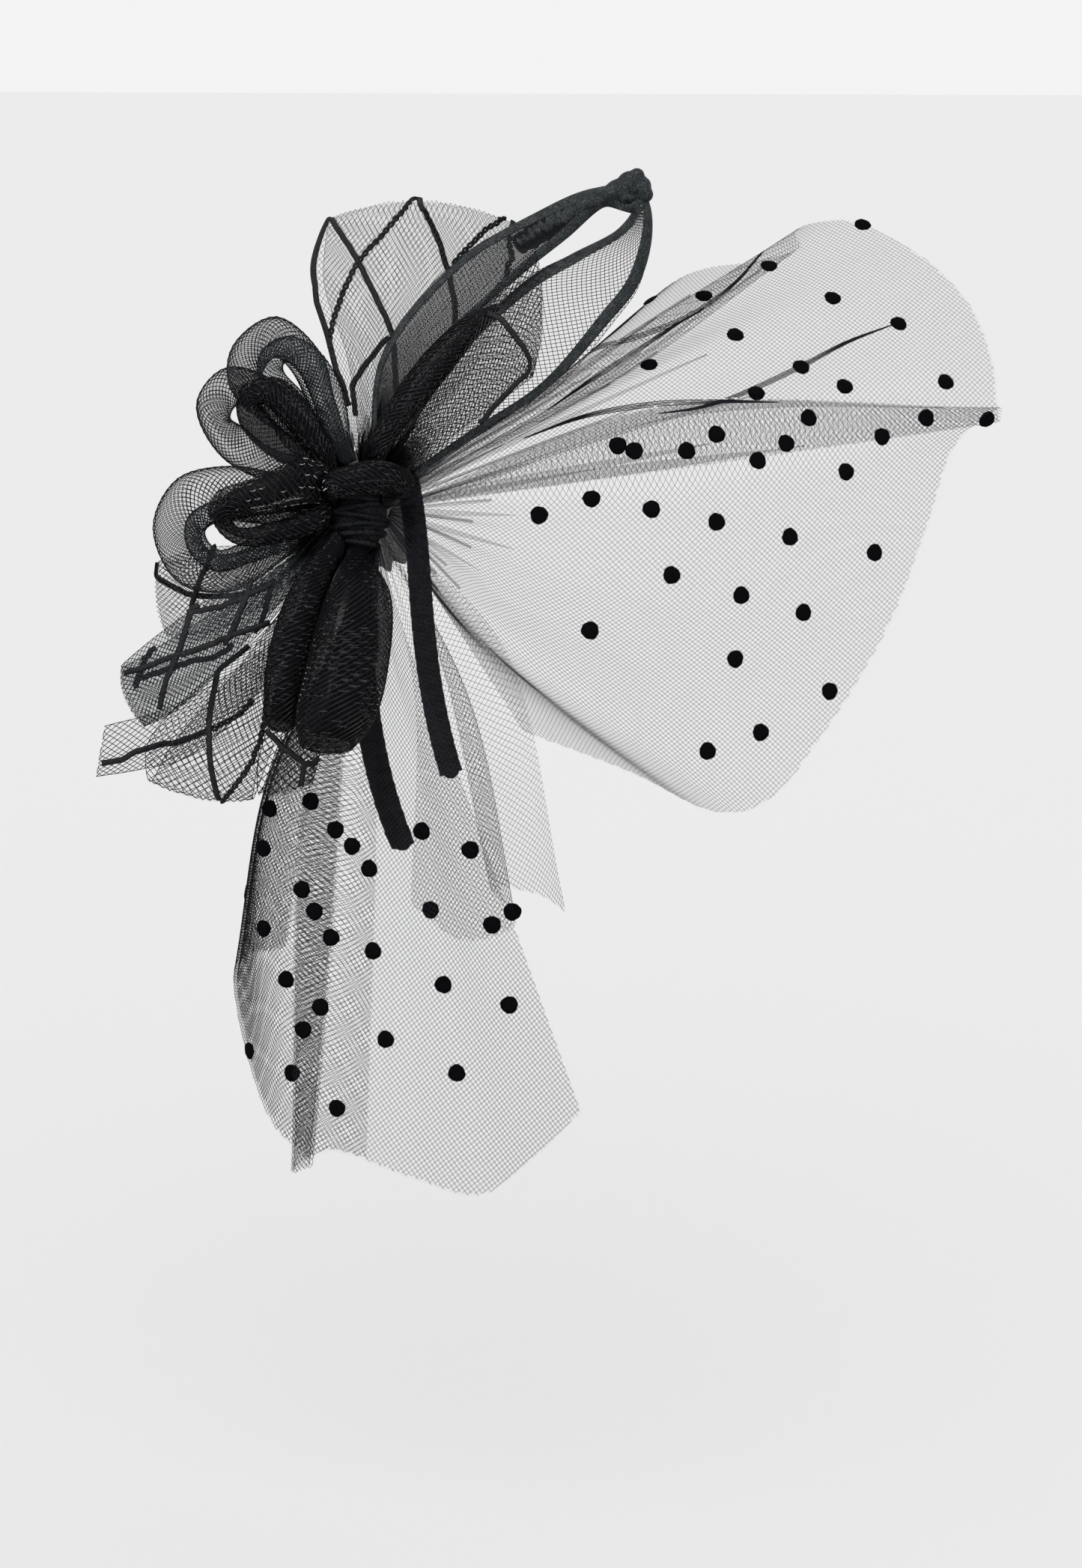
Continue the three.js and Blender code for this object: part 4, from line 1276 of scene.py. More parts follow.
def rolled_edges() -> list[CrinStrip]:
    """Return the rolled edges that the photograph shows inside the curls and on the leaf."""
    return [
        rolled_edge("upper_curl_roll", Seat(100, 0.30), Seat(116, -0.10), ROLL,
                    (452, 592, 3, 11), (438, 530, 1, 13), (412, 482, 1, 12), (384, 466, 0, 11),
                    (362, 480, -1, 11), (364, 506, -2, 11), (392, 540, -2, 12), (422, 592, 0, 9)),
        rolled_edge("left_curl_roll", Seat(128, 0.45), Seat(142, 0.25), GLINT,
                    (428, 600, 8, 10), (396, 553, 9, 13), (362, 522, 8, 12), (334, 528, 7, 10),
                    (334, 552, 6, 11), (358, 582, 6, 12), (410, 622, 6, 9)),
        rolled_edge("ring_curl_roll", Seat(170, 0.10), Seat(196, -0.10), ROLL,
                    (400, 690, 3, 8), (340, 684, 3, 9), (292, 682, 2, 9), (262, 700, 1, 9),
                    (264, 728, 0, 9), (290, 749, -1, 9), (330, 738, -2, 9), (400, 712, -2, 8)),
        rolled_edge("front_tube_roll", Seat(158, 0.60), Seat(176, 0.70), GLINT,
                    (430, 630, 15, 9), (370, 650, 17, 11), (312, 672, 17, 9), (296, 694, 15, 7),
                    (318, 716, 13, 7), (380, 708, 12, 9), (430, 690, 12, 9)),
        rolled_edge("front_leaf_roll", Seat(58, 0.70), None, GLINT,
                    (504, 600, 18, 8), (532, 552, 19, 11), (565, 508, 20, 13), (602, 464, 21, 12),
                    (636, 430, 21, 8), (665, 410, 21, 3)),
        rolled_edge("front_tube_wrap", Seat(168, 0.86), Seat(20, 0.80), GLINT,
                    (440, 650, 19, 10), (468, 643, 21, 13), (500, 638, 22, 14),
                    (528, 640, 20, 11), (545, 650, 15, 8)),
    ]


def side_loops() -> list[CrinStrip]:
    """Return the lattice crin at the lower left."""
    rear = CrinStrip(
        "rear_loop", Form.RIBBON, 90, PALE, Seat(180, -0.66), Seat(205, -0.82),
        sections(
            (-0.36, -0.40, -0.40, -0.13, -0.17, 0.02), (-0.71, -0.58, -0.73, -0.16, -0.20, 0.03),
            (-0.92, -0.56, -0.96, -0.22, -0.28, 0.03), (-0.69, -0.53, -0.69, -0.18, -0.37, 0.03),
            (-0.33, -0.31, -0.36, -0.13, -0.30, 0.02),
        ),
        cords=[
            flat((0.5, 0.95), (208, 743), (199, 756), (214, 773), (234, 785), (256, 794), (298, 796),
                 (340, 788), (371, 774)),
            flat(NEAR_HALF, (290, 721), (277, 754), (260, 794), (253, 824), (242, 858)),
        ])
    side = CrinStrip(
        "side_lattice_loop", Form.RIBBON, 118, SLATE, Seat(213, 0.12), Seat(219, -0.25),
        sections(
            (-0.23, -0.28, -0.23, -0.17, 0.03, 0.01), (-0.47, -0.53, -0.51, -0.31, 0.04, 0.02),
            (-0.66, -0.69, -0.71, -0.45, 0.04, 0.02), (-0.76, -0.73, -0.83, -0.55, 0.00, 0.03),
            (-0.64, -0.66, -0.68, -0.46, -0.05, 0.02), (-0.36, -0.39, -0.37, -0.26, -0.04, 0.01),
        ),
        cords=[
            flat(NEAR_HALF, (165, 901), (200, 889), (234, 876), (273, 864), (301, 852), (326, 843),
                 (365, 830)),
            flat((0.5, 0.95), (186, 906), (228, 893), (256, 883), (290, 876), (312, 858)),
            flat(NEAR_HALF, (262, 800), (253, 824), (242, 858), (234, 880), (225, 900), (217, 922),
                 (212, 950)),
            flat((0.5, 0.95), (205, 862), (192, 886), (180, 920)),
            flat(NEAR_HALF, (336, 774), (326, 802), (312, 836), (300, 862)),
            flat((0.5, 0.95), (365, 774), (354, 810), (342, 850)),
            flat(NEAR_HALF, (250, 818), (290, 812), (330, 796), (366, 778)),
        ],
        spread=(3.0, 0.0))
    low = CrinStrip(
        "low_lattice_loop", Form.RIBBON, 125, LOW, Seat(236, -0.14), Seat(238, -0.64),
        sections(
            (-0.17, -0.40, -0.30, -0.40, -0.07, 0.01), (-0.33, -0.68, -0.54, -0.62, -0.07, 0.02),
            (-0.36, -0.86, -0.67, -0.78, -0.07, 0.03), (-0.38, -0.95, -0.67, -0.90, -0.14, 0.03),
            (-0.34, -0.83, -0.61, -0.78, -0.21, 0.03), (-0.24, -0.56, -0.40, -0.53, -0.18, 0.02),
        ),
        cords=[
            flat((0.05, 0.55), (312, 836), (299, 864), (291, 897), (284, 934), (278, 970),
                 (280, 1004), (283, 1034), (292, 1070)),
            chain((0.05, 0.55), (357, 911), (355, 942), (351, 973), (341, 1006), (329, 1029),
                  (312, 1051), (296, 1070)),
        ],
        spread=(2.0, 4.5))
    tail = CrinStrip(
        "cut_tail", Form.RIBBON, 150, LOW, Seat(226, -0.50), None,
        sections(
            (-0.24, -0.44, -0.21, -0.33, -0.08, 0.01), (-0.47, -0.67, -0.41, -0.49, -0.09, 0.01),
            (-0.61, -0.71, -0.57, -0.57, -0.09, 0.01), (-0.73, -0.73, -0.71, -0.61, -0.07, 0.01),
        ),
        cords=[
            flat((0.1, 1.0), (134, 1020), (158, 1016), (183, 1004), (217, 995), (250, 987),
                 (281, 976)),
            chain((0.1, 1.0), (281, 976), (306, 962), (329, 948), (346, 936)),
        ],
        spread=(0.0, 3.0))
    return [rear, side, low, tail]


def hanging_loops() -> list[CrinStrip]:
    """Return the loops that hang under the knot."""
    left = CrinStrip(
        "hanging_tube_left", Form.TUBE, 95, GLINT, Seat(238, 0.72), Seat(244, 0.34),
        sections(
            (-0.13, -0.36, -0.28, -0.34, 0.14, 0.03), (-0.21, -0.65, -0.38, -0.63, 0.15, 0.03),
            (-0.26, -0.86, -0.40, -0.84, 0.14, 0.03), (-0.28, -0.95, -0.39, -0.93, 0.10, 0.03),
            (-0.23, -0.82, -0.36, -0.80, 0.06, 0.02), (-0.14, -0.48, -0.25, -0.46, 0.06, 0.02),
        ),
        glints=Glints.ACROSS)
    right = CrinStrip(
        "hanging_tube_right", Form.TUBE, 100, GLINT, Seat(268, 0.66), Seat(272, 0.26),
        sections(
            (0.14, -0.37, -0.12, -0.37, 0.21, 0.05), (0.13, -0.67, -0.20, -0.66, 0.24, 0.05),
            (0.07, -0.88, -0.24, -0.86, 0.23, 0.05), (-0.02, -0.98, -0.22, -0.97, 0.17, 0.04),
            (0.03, -0.84, -0.14, -0.84, 0.09, 0.03), (0.08, -0.56, -0.08, -0.56, 0.07, 0.03),
        ),
        glints=Glints.ACROSS)
    coarse = CrinStrip(
        "coarse_loop", Form.RIBBON, 122, COARSE, Seat(256, 0.00), Seat(257, -0.30),
        sections(
            (-0.09, -0.41, -0.17, -0.41, 0.00, 0.01), (-0.12, -0.69, -0.29, -0.69, 0.00, 0.01),
            (-0.14, -0.85, -0.34, -0.85, 0.00, 0.02), (-0.16, -0.92, -0.34, -0.96, -0.02, 0.02),
            (-0.13, -0.79, -0.28, -0.80, -0.04, 0.01), (-0.09, -0.41, -0.15, -0.41, -0.03, 0.01),
        ),
        cords=[
            flat(NEAR_HALF, (352, 973), (371, 992), (396, 1012), (414, 1022), (424, 1012)),
            flat((0.05, 0.49), (408, 1018), (403, 1036), (404, 1050)),
        ])
    return [left, right, coarse]


# Veil

@dataclass(frozen=True)
class Rib:
    """One rib of the veil, in shares of the panel's reach.

    Attributes:
        bend: Place of its bend.
        hem: Place of its end.
        waist: Place between the gather and the bend, or None.
    """

    bend: Triple
    hem: Triple
    waist: Triple | None = None


@dataclass
class VeilPanel:
    """One gathered panel of dotted tulle.

    Attributes:
        name: Name of the node that it stands for.
        reach: Length from the gather to the hem.
        bearings: Bearings of the first and last rib's root on the knot.
        levels: Their levels.
        ribs: The ribs.
        dots: Pixels of the photograph at which its flocked dots show.
        doubled: Shares of the width between which a second layer lies behind.
        pleats: Place across and length of each fold that runs out from the gather, in shares.
        creases: Pixels of the photograph that each sharp crease passes.
        fullness: Distance behind the gather at which the flat cut's edges would meet.
        ripple: Height of the folds near the gather.
        folds: Number of those folds.
        pitch: Distance between two threads of one direction.
        thread: Thickness of a thread.
        tooth: Depth of the cut hem's teeth.
        tooth_pitch: Distance between two teeth.
        pleat_width: Half the width of a pleat where it is widest.
        pleat_grid: Number of a pleat's rows and columns.
        crease_step: Distance past which a crease's strand breaks.
        crease_strands: Pixels that each strand of a crease stands off its middle line.
        crease_size: Width and height of a strand.
        dot_width: Width of a dot.
        dot_sides: Number of its sides.
        wall: Thickness of the panel's solid.
        cloth: Its grid, once it is laid.
        lengths: Length of each column of the grid.
        angles: Angle of each column on the flat cut.
    """

    name: str
    reach: float
    bearings: Place
    levels: Place
    ribs: list[Rib]
    dots: list[Place]
    doubled: tuple[Place, ...] = ()
    fullness: float = 70
    ripple: float = 2.5
    folds: int = 18
    pitch: float = 1.75
    thread: float = 0.16
    pleats: tuple[Place, ...] = ()
    creases: tuple[tuple[Place, ...], ...] = ()
    tooth: float = 1.6
    tooth_pitch: float = 5.0
    pleat_width: float = 2.2
    pleat_grid: tuple[int, int] = (28, 7)
    crease_step: float = 9.0
    crease_strands: tuple[float, ...] = (-3.2, -1.0, 1.0, 3.2)
    crease_size: Place = (0.55, 0.4)
    dot_width: float = 7.4
    dot_sides: int = 18
    wall: float = 1.0
    cloth: Cloth = field(init=False)
    lengths: Array = field(init=False)
    angles: Array = field(init=False)

    def lay_cloth(self) -> None:
        """Work out the panel's grid and its flat cut."""
        curves = []
        roots = zip(np.linspace(*self.bearings, len(self.ribs)),
                    np.linspace(*self.levels, len(self.ribs)))
        for rib, (bearing, level) in zip(self.ribs, roots):
            root, _ = KNOT.seat(bearing, level, self.wall)
            places = [rib.waist, rib.bend, rib.hem] if rib.waist else [rib.bend, rib.hem]
            curves.append([root, *(np.array(place) * self.reach for place in places)])
        shares = np.linspace(0, 1, round(self.reach / 2.2) + 1)
        rows = Rail(np.array(curves).transpose(1, 0, 2)).spaced(shares)
        columns = np.linspace(0, 1, (len(self.ribs) - 1) * 10 + 1)
        grid = Rail(rows.transpose(1, 0, 2)).at(columns).transpose(1, 0, 2)
        plain = Cloth(FLOWER.to_row(grid))
        down = shares[:, None]
        near = np.exp(-(down * self.reach / 60) ** 2) * np.minimum(down * 14, 1)
        wave = np.sin(2 * math.pi * self.folds * columns)
        soft = 0.5 * np.sin(2 * math.pi * (3.3 * columns + 1.2 * down))
        lift = self.ripple * near * wave + soft * down
        self.cloth = Cloth(plain.points + lift[..., None] * plain.normals)
        self.lengths = running(plain.points)[-1]
        hem = np.linalg.norm(np.diff(plain.points[-1], axis=0), axis=-1)
        radius = self.fullness + (self.lengths[1:] + self.lengths[:-1]) / 2
        self.angles = np.concatenate([[0], np.cumsum(hem / radius)])

    def net(self, slant: float, between: Place = (0.0, 1.0), lift: float = 0.0) -> Threads:
        """Return the threads that run one way across the flat cut.

        Args:
            slant: Degrees between the threads and the middle of the panel.
            between: Shares of the width between which they lie.
            lift: Height above the grid.
        """
        whole = self.angles[-1]
        outer = self.fullness + self.lengths.max()
        turn = math.radians(slant)
        across = np.arange(-outer, outer, self.pitch)[:, None]
        along = np.arange(-outer, outer, FLAT_STEP)[None]
        x = along * math.cos(turn) - across * math.sin(turn)
        y = along * math.sin(turn) + across * math.cos(turn)
        shares = np.linspace(0, 1, len(self.angles))

        def on_cut(x: Array, y: Array) -> tuple[Array, Array, Array]:
            """Return rows, columns and how far inside the cut a place of it is."""
            angle = np.arctan2(y, x) + whole / 2
            columns = np.interp(angle, self.angles, shares)
            length = np.interp(columns, shares, self.lengths)
            radius = np.hypot(x, y)
            hem = self.fullness + length
            wave = np.abs((angle * hem / self.tooth_pitch) % 1.0 - 0.5) * 2
            first, last = np.interp(between, shares, self.angles)
            depth = np.minimum.reduce([
                hem - self.tooth * wave - radius, radius - self.fullness,
                (angle - first) * radius, (last - angle) * radius])
            return (radius - self.fullness) / length, columns, depth

        _, _, depth = on_cut(x, y)
        inside = depth > 0
        for step in (1, -1):
            near = np.roll(depth, step, axis=1)
            cut = ~inside & (near > 0)
            cut[:, 0 if step > 0 else -1] = False
            part = np.where(cut, near / np.where(cut, near - depth, 1), 0)
            x, y = (np.where(cut, np.roll(value, step, axis=1) * (1 - part) + value * part, value)
                    for value in (x, y))
        rows, columns, _ = on_cut(x, y)
        own = math.copysign(OVERLAP * self.thread, slant)
        return self.cloth.threads(rows, columns, inside, lift + own)

    def make_net(self, slant: float) -> Piece:
        """Make the net's threads of one direction, on every layer."""
        layers = [self.net(slant)]
        for number, between in enumerate(self.doubled):
            layers.append(self.net(slant + 7 + 4 * number, between, -1.5 - number))
        points, faces = Threads.together(layers).tubes(self.thread, self.thread, THREAD_SIDES)
        side = "left" if slant < 0 else "right"
        return write_mesh(f"{self.name}_net_{side}", points, faces, TULLE_THREAD)

    def make_pleats(self) -> Piece:
        """Make the narrow folds of tulle that run out from the gather and end in a point."""
        height, width = self.pleat_grid
        across = np.linspace(-1, 1, width)
        points = []
        for place, length in self.pleats:
            rows = np.linspace(0.004, length, height)[:, None]
            share = rows / length
            half = self.pleat_width * (0.25 + share) * (1 - share) ** 0.8 / self.reach
            columns = place + half * across / (0.12 + 0.88 * share)
            at, normals = self.cloth.lay(np.broadcast_to(rows, columns.shape), columns)
            lift = (1.1 * (1 - across ** 2) * (0.3 + share) + 0.25)[..., None]
            points += [at + normals * lift, at + normals * (lift - FILM_WALL)]
        starts = 2 * height * width * np.arange(len(self.pleats))[:, None, None]
        faces = (wall_quads(height, width) + starts).reshape(-1, 4)
        return write_mesh(f"{self.name}_pleats", np.concatenate(points).reshape(-1, 3), [faces],
                          PLEAT_FILM)

    def dot(self, centre: Array, normal: Array, number: int) -> tuple[Array, list]:
        """Return one flocked dot as a thin uneven disc with rounded faces."""
        sides = self.dot_sides
        side = unit(np.cross(normal, np.array([0.3, 0.2, 0.9])))
        over = np.cross(normal, side)
        angles = 2 * math.pi * np.arange(sides) / sides
        uneven = 1 + 0.035 * np.sin(3 * angles + number) + 0.03 * np.sin(7 * angles + 2.3 * number)
        rings = []
        for share, height in ((0.0, 0.5), (0.7, 0.42), (1.0, 0.0), (0.7, -0.42), (0.0, -0.5)):
            radius = share * self.dot_width / 2 * uneven
            rings.append(centre + height * normal + radius[:, None]
                         * (np.cos(angles)[:, None] * side + np.sin(angles)[:, None] * over))
        points = np.concatenate([rings[0][:1], *rings[1:4], rings[4][:1]])
        numbers = 1 + np.append(np.arange(sides), 0) + sides * np.arange(3)[:, None]
        top, _, low = numbers
        caps = np.concatenate([
            np.stack([np.zeros(sides, int), top[:-1], top[1:]], axis=1),
            np.stack([np.full(sides, len(points) - 1), low[1:], low[:-1]], axis=1)])
        return points, [caps, grid_quads(numbers)[:, ::-1]]

    def layers(self) -> BVHTree:
        """Return the panel's surface, for rays from the camera."""
        height, width = self.cloth.points.shape[:2]
        quads = grid_quads(np.arange(height * width).reshape(height, width))
        return BVHTree.FromPolygons(self.cloth.points.reshape(-1, 3).tolist(), quads.tolist())

    def make_creases(self) -> Piece:
        """Make the sharp creases, each as strands of drawn net that meet at its ends."""
        tree = self.layers()
        share = np.linspace(0, 1, 80)
        strands = []
        for crease in self.creases:
            line = Rail(np.array(crease, dtype=float)).spaced(share)
            for apart in self.crease_strands:
                seen = line + np.stack([0 * share, apart * np.sin(math.pi * share)], axis=1)
                hits = [tree.ray_cast(Vector(VIEW.eye), Vector(VIEW.ray(pixel))) for pixel in seen]
                places = np.array([hit for hit, _, _, _ in hits if hit is not None])
                normals = np.array([normal for hit, normal, _, _ in hits if hit is not None])
                steps = np.linalg.norm(np.diff(places, axis=0), axis=1)
                joined = np.append(steps < self.crease_step, False)
                strands.append(Threads(places, normals, joined))
        points, faces = Threads.together(strands).tubes(*self.crease_size, THREAD_SIDES)
        return write_mesh(f"{self.name}_creases", points, faces, TULLE_THREAD)

    def make_dots(self) -> Piece:
        """Make the flocked dots, each on the layer that the photograph shows in front."""
        tree = self.layers()
        rim = 4
        inner = (slice(rim, 1 - rim), slice(rim, -rim))
        seen = VIEW.pixels(self.cloth.points[inner])
        points, caps, sides = [], [], []
        count = 0
        for number, pixel in enumerate(self.dots):
            hit, normal, _, _ = tree.ray_cast(Vector(VIEW.eye), Vector(VIEW.ray(pixel)))
            if hit is None:
                away = np.linalg.norm(seen - np.array(pixel), axis=-1)
                row, column = np.unravel_index(away.argmin(), away.shape)
                log.info("%s: dot at %s is moved %.0f pixels", self.name, pixel, away.min())
                hit = self.cloth.points[inner][row, column]
                normal = self.cloth.normals[inner][row, column]
            corners, (triangles, squares) = self.dot(np.array(hit), np.array(normal), number)
            points.append(corners)
            caps.append(triangles + count)
            sides.append(squares + count)
            count += len(corners)
        return write_mesh(f"{self.name}_dots", np.concatenate(points),
                          [np.concatenate(caps), np.concatenate(sides)], FLOCK)

    def build(self) -> None:
        self.lay_cloth()
        film = self.cloth.film(f"{self.name}_film", TULLE_FILM, skip=3)
        others = [self.make_net(-45), self.make_net(45)]
        for wanted, make in ((self.dots, self.make_dots), (self.pleats, self.make_pleats),
                             (self.creases, self.make_creases)):
            if wanted:
                others.append(make())
        for piece in (film, *others):
            seat_piece(piece, "tulle", self.name)
        hem = float(running(self.cloth.points[-1])[-1])
        self.cloth.declare(film, hem, float(self.lengths.max()), others)


def ribs(*rows: tuple[float, ...]) -> list[Rib]:
    """Return ribs from rows of bend and hem, or of waist, bend and hem."""
    made = []
    for row in rows:
        places = [tuple(row[index:index + 3]) for index in range(0, len(row), 3)]
        waist = places[0] if len(places) == 3 else None
        made.append(Rib(places[-2], places[-1], waist))
    return made


def veil_panels() -> list[VeilPanel]:
    """Return the three panels of the veil."""
    front = VeilPanel(
        "veil_front", 270, (38, -28), (-0.66, 0.58),
        ribs(
            (0.24, 0.175, -0.14, 0.40, 0.31, -0.24), (0.28, 0.20, -0.14, 0.515, 0.41, -0.29),
            (0.35, 0.225, -0.15, 0.63, 0.44, -0.325), (0.40, 0.22, -0.155, 0.70, 0.465, -0.335),
            (0.38, 0.265, -0.13, 0.69, 0.485, -0.315), (0.44, 0.25, -0.11, 0.77, 0.505, -0.33),
            (0.46, 0.23, -0.09, 0.88, 0.45, -0.30), (0.47, 0.18, -0.07, 0.96, 0.365, -0.26),
            (0.47, 0.13, -0.045, 0.995, 0.26, -0.21), (0.47, 0.06, -0.02, 1.00, 0.155, -0.17),
            (0.45, 0.155, 0.005, 1.00, 0.175, -0.15), (0.46, 0.03, 0.03, 0.925, 0.115, -0.13),
            (0.42, -0.05, 0.045, 0.88, -0.01, -0.115), (0.37, -0.13, 0.055, 0.82, -0.165, -0.10),
            (0.31, -0.19, 0.065, 0.72, -0.33, -0.07), (0.26, -0.22, 0.065, 0.615, -0.45, -0.035),
            (0.23, -0.23, 0.065, 0.54, -0.46, -0.01), (0.18, -0.20, 0.06, 0.41, -0.40, 0.03),
            (0.14, -0.17, 0.055, 0.25, -0.34, 0.06),
        ),
        dots=[
            (868, 400), (940, 395), (1027, 355), (1112, 398), (1152, 300), (982, 447), (867, 487),
            (1200, 432), (1070, 490), (1010, 525), (1128, 516), (1263, 510), (1080, 558), (1237, 558),
            (1318, 560), (1178, 583), (1050, 592), (957, 580), (917, 602), (1012, 615), (847, 602),
            (825, 595), (1130, 630), (957, 697), (1055, 717), (1168, 738), (870, 680), (790, 666),
            (720, 688), (897, 768), (990, 795), (1073, 818), (788, 842), (982, 880), (1108, 923),
            (1016, 978), (945, 1003),
        ],
        pleats=(
            (0.02, 0.5), (0.05, 0.36), (0.09, 0.75), (0.115, 0.5), (0.14, 0.95), (0.17, 0.6),
            (0.20, 0.42), (0.235, 0.7), (0.27, 0.5), (0.31, 0.4), (0.35, 0.55), (0.39, 0.42),
            (0.43, 0.6), (0.47, 0.5), (0.51, 0.66), (0.545, 0.9), (0.58, 0.24), (0.61, 0.17),
            (0.64, 0.22), (0.67, 0.15), (0.70, 0.24), (0.73, 0.17), (0.76, 0.21), (0.80, 0.16),
            (0.84, 0.22), (0.88, 0.17), (0.92, 0.23), (0.96, 0.18),
        ),
        creases=(
            ((700, 545), (742, 506), (790, 468), (850, 450), (921, 421), (980, 379), (1030, 324),
             (1066, 299)),
            ((730, 548), (800, 500), (860, 462), (905, 432), (940, 412)),
            ((880, 552), (930, 545), (980, 530), (1064, 492), (1131, 457), (1196, 432)),
            ((700, 585), (780, 556), (870, 540), (960, 536), (1040, 537)),
        ))
    jabot = VeilPanel(
        "veil_jabot", 180, (-40, -56), (0.80, 0.25),
        ribs(
            (0.33, -0.32, 0.17, 0.47, -0.92, 0.06), (0.27, -0.34, 0.20, 0.42, -0.88, 0.10),
            (0.19, -0.36, 0.18, 0.30, -0.86, 0.12), (0.25, -0.42, 0.15, 0.36, -0.94, 0.08),
            (0.20, -0.44, 0.12, 0.24, -0.98, 0.08), (0.13, -0.44, 0.09, 0.12, -0.90, 0.05),
        ),
        dots=[(563, 1110), (628, 1135), (657, 1235), (697, 1233)],
        fullness=40, ripple=1.2, folds=7)
    back = VeilPanel(
        "veil_back", 280, (-60, -78), (0.30, 0.05),
        ribs(
            (0.07, -0.19, 0.01, 0.15, -0.40, 0.02, 0.325, -0.885, -0.02),
            (0.055, -0.19, 0.01, 0.12, -0.42, 0.015, 0.26, -0.95, -0.03),
            (0.04, -0.19, 0.005, 0.09, -0.42, 0.005, 0.175, -1.01, -0.035),
            (0.025, -0.19, 0.0, 0.05, -0.42, -0.01, 0.07, -0.985, -0.05),
            (0.01, -0.19, -0.005, -0.01, -0.41, -0.03, -0.055, -0.95, -0.08),
            (-0.01, -0.19, -0.01, -0.085, -0.40, -0.05, -0.11, -0.985, -0.09),
            (-0.015, -0.19, -0.015, -0.03, -0.40, -0.065, -0.08, -0.975, -0.11),
            (-0.025, -0.19, -0.018, -0.10, -0.40, -0.08, -0.14, -0.92, -0.14),
            (-0.033, -0.19, -0.02, -0.145, -0.41, -0.10, -0.19, -0.80, -0.18),
            (-0.037, -0.19, -0.025, -0.15, -0.42, -0.14, -0.205, -0.68, -0.25),
            (-0.037, -0.19, -0.035, -0.09, -0.42, -0.19, -0.14, -0.66, -0.33),
        ),
        dots=[
            (360, 1080), (415, 1070), (448, 1108), (470, 1130), (352, 1133), (493, 1160), (318, 1190),
            (403, 1188), (420, 1217), (352, 1240), (442, 1252), (498, 1270), (382, 1308), (428, 1345),
            (405, 1375), (333, 1403), (390, 1433), (515, 1388), (610, 1433), (592, 1315), (680, 1342),
            (575, 1215), (450, 1480),
        ],
        doubled=((0.35, 1.0),), fullness=80, ripple=1.0, folds=9, thread=0.2)
    return [front, jabot, back]


# Wound pieces

def deselect() -> None:
    """Leave object mode's selection empty."""
    bpy.ops.object.select_all(action="DESELECT")


def pose_matrix(place: Array, axes: Array, scale: Triple) -> Matrix:
    """Return the matrix that sets a modelled piece in the row frame.

    Args:
        place: Its centre, in millimetres.
        axes: Rows of the directions of its x, y and z.
        scale: Its size along each of them, in millimetres.
    """
    turn = Matrix(np.asarray(axes, dtype=float).T.tolist()).to_4x4()
    size = Matrix.Diagonal((*(value * MM for value in scale), 1.0))
    return Matrix.Translation(Vector(place * MM)) @ turn @ size


def settle(pieces: list[Piece], name: str, finish: PlainFinish) -> Piece:
    """Join modelled pieces into one at the origin, and give it its finish."""
    deselect()
    for piece in pieces:
        piece.select_set(True)
    bpy.context.view_layer.objects.active = pieces[0]
    bpy.ops.object.transform_apply(location=True, rotation=True, scale=True)
    if len(pieces) > 1:
        bpy.ops.object.join()
    joined = bpy.context.object
    joined.name = joined.data.name = name
    joined.data.materials.clear()
    joined.data.materials.append(finish.material())
    bpy.ops.object.shade_smooth()
    return joined


def copy_of(piece: Piece, matrix: Matrix) -> Piece:
    """Return a copy of a modelled piece, with a mesh of its own, set at a matrix."""
    twin = piece.copy()
    twin.data = piece.data.copy()
    bpy.context.scene.collection.objects.link(twin)
    twin.matrix_world = matrix
    return twin


def unit_ball(segments: int) -> Piece:
    """Model a ball of radius one."""
    deselect()
    bpy.ops.mesh.primitive_uv_sphere_add(segments=segments, ring_count=segments // 2, radius=1.0)
    return bpy.context.object


def apply_change(piece: Piece, kind: str, **settings: float) -> None:
    """Add a modifier to the active piece, with its settings, and apply it."""
    change = piece.modifiers.new(kind.lower(), kind)
    for setting, value in settings.items():
        setattr(change, setting, value)
    bpy.ops.object.modifier_apply(modifier=change.name)


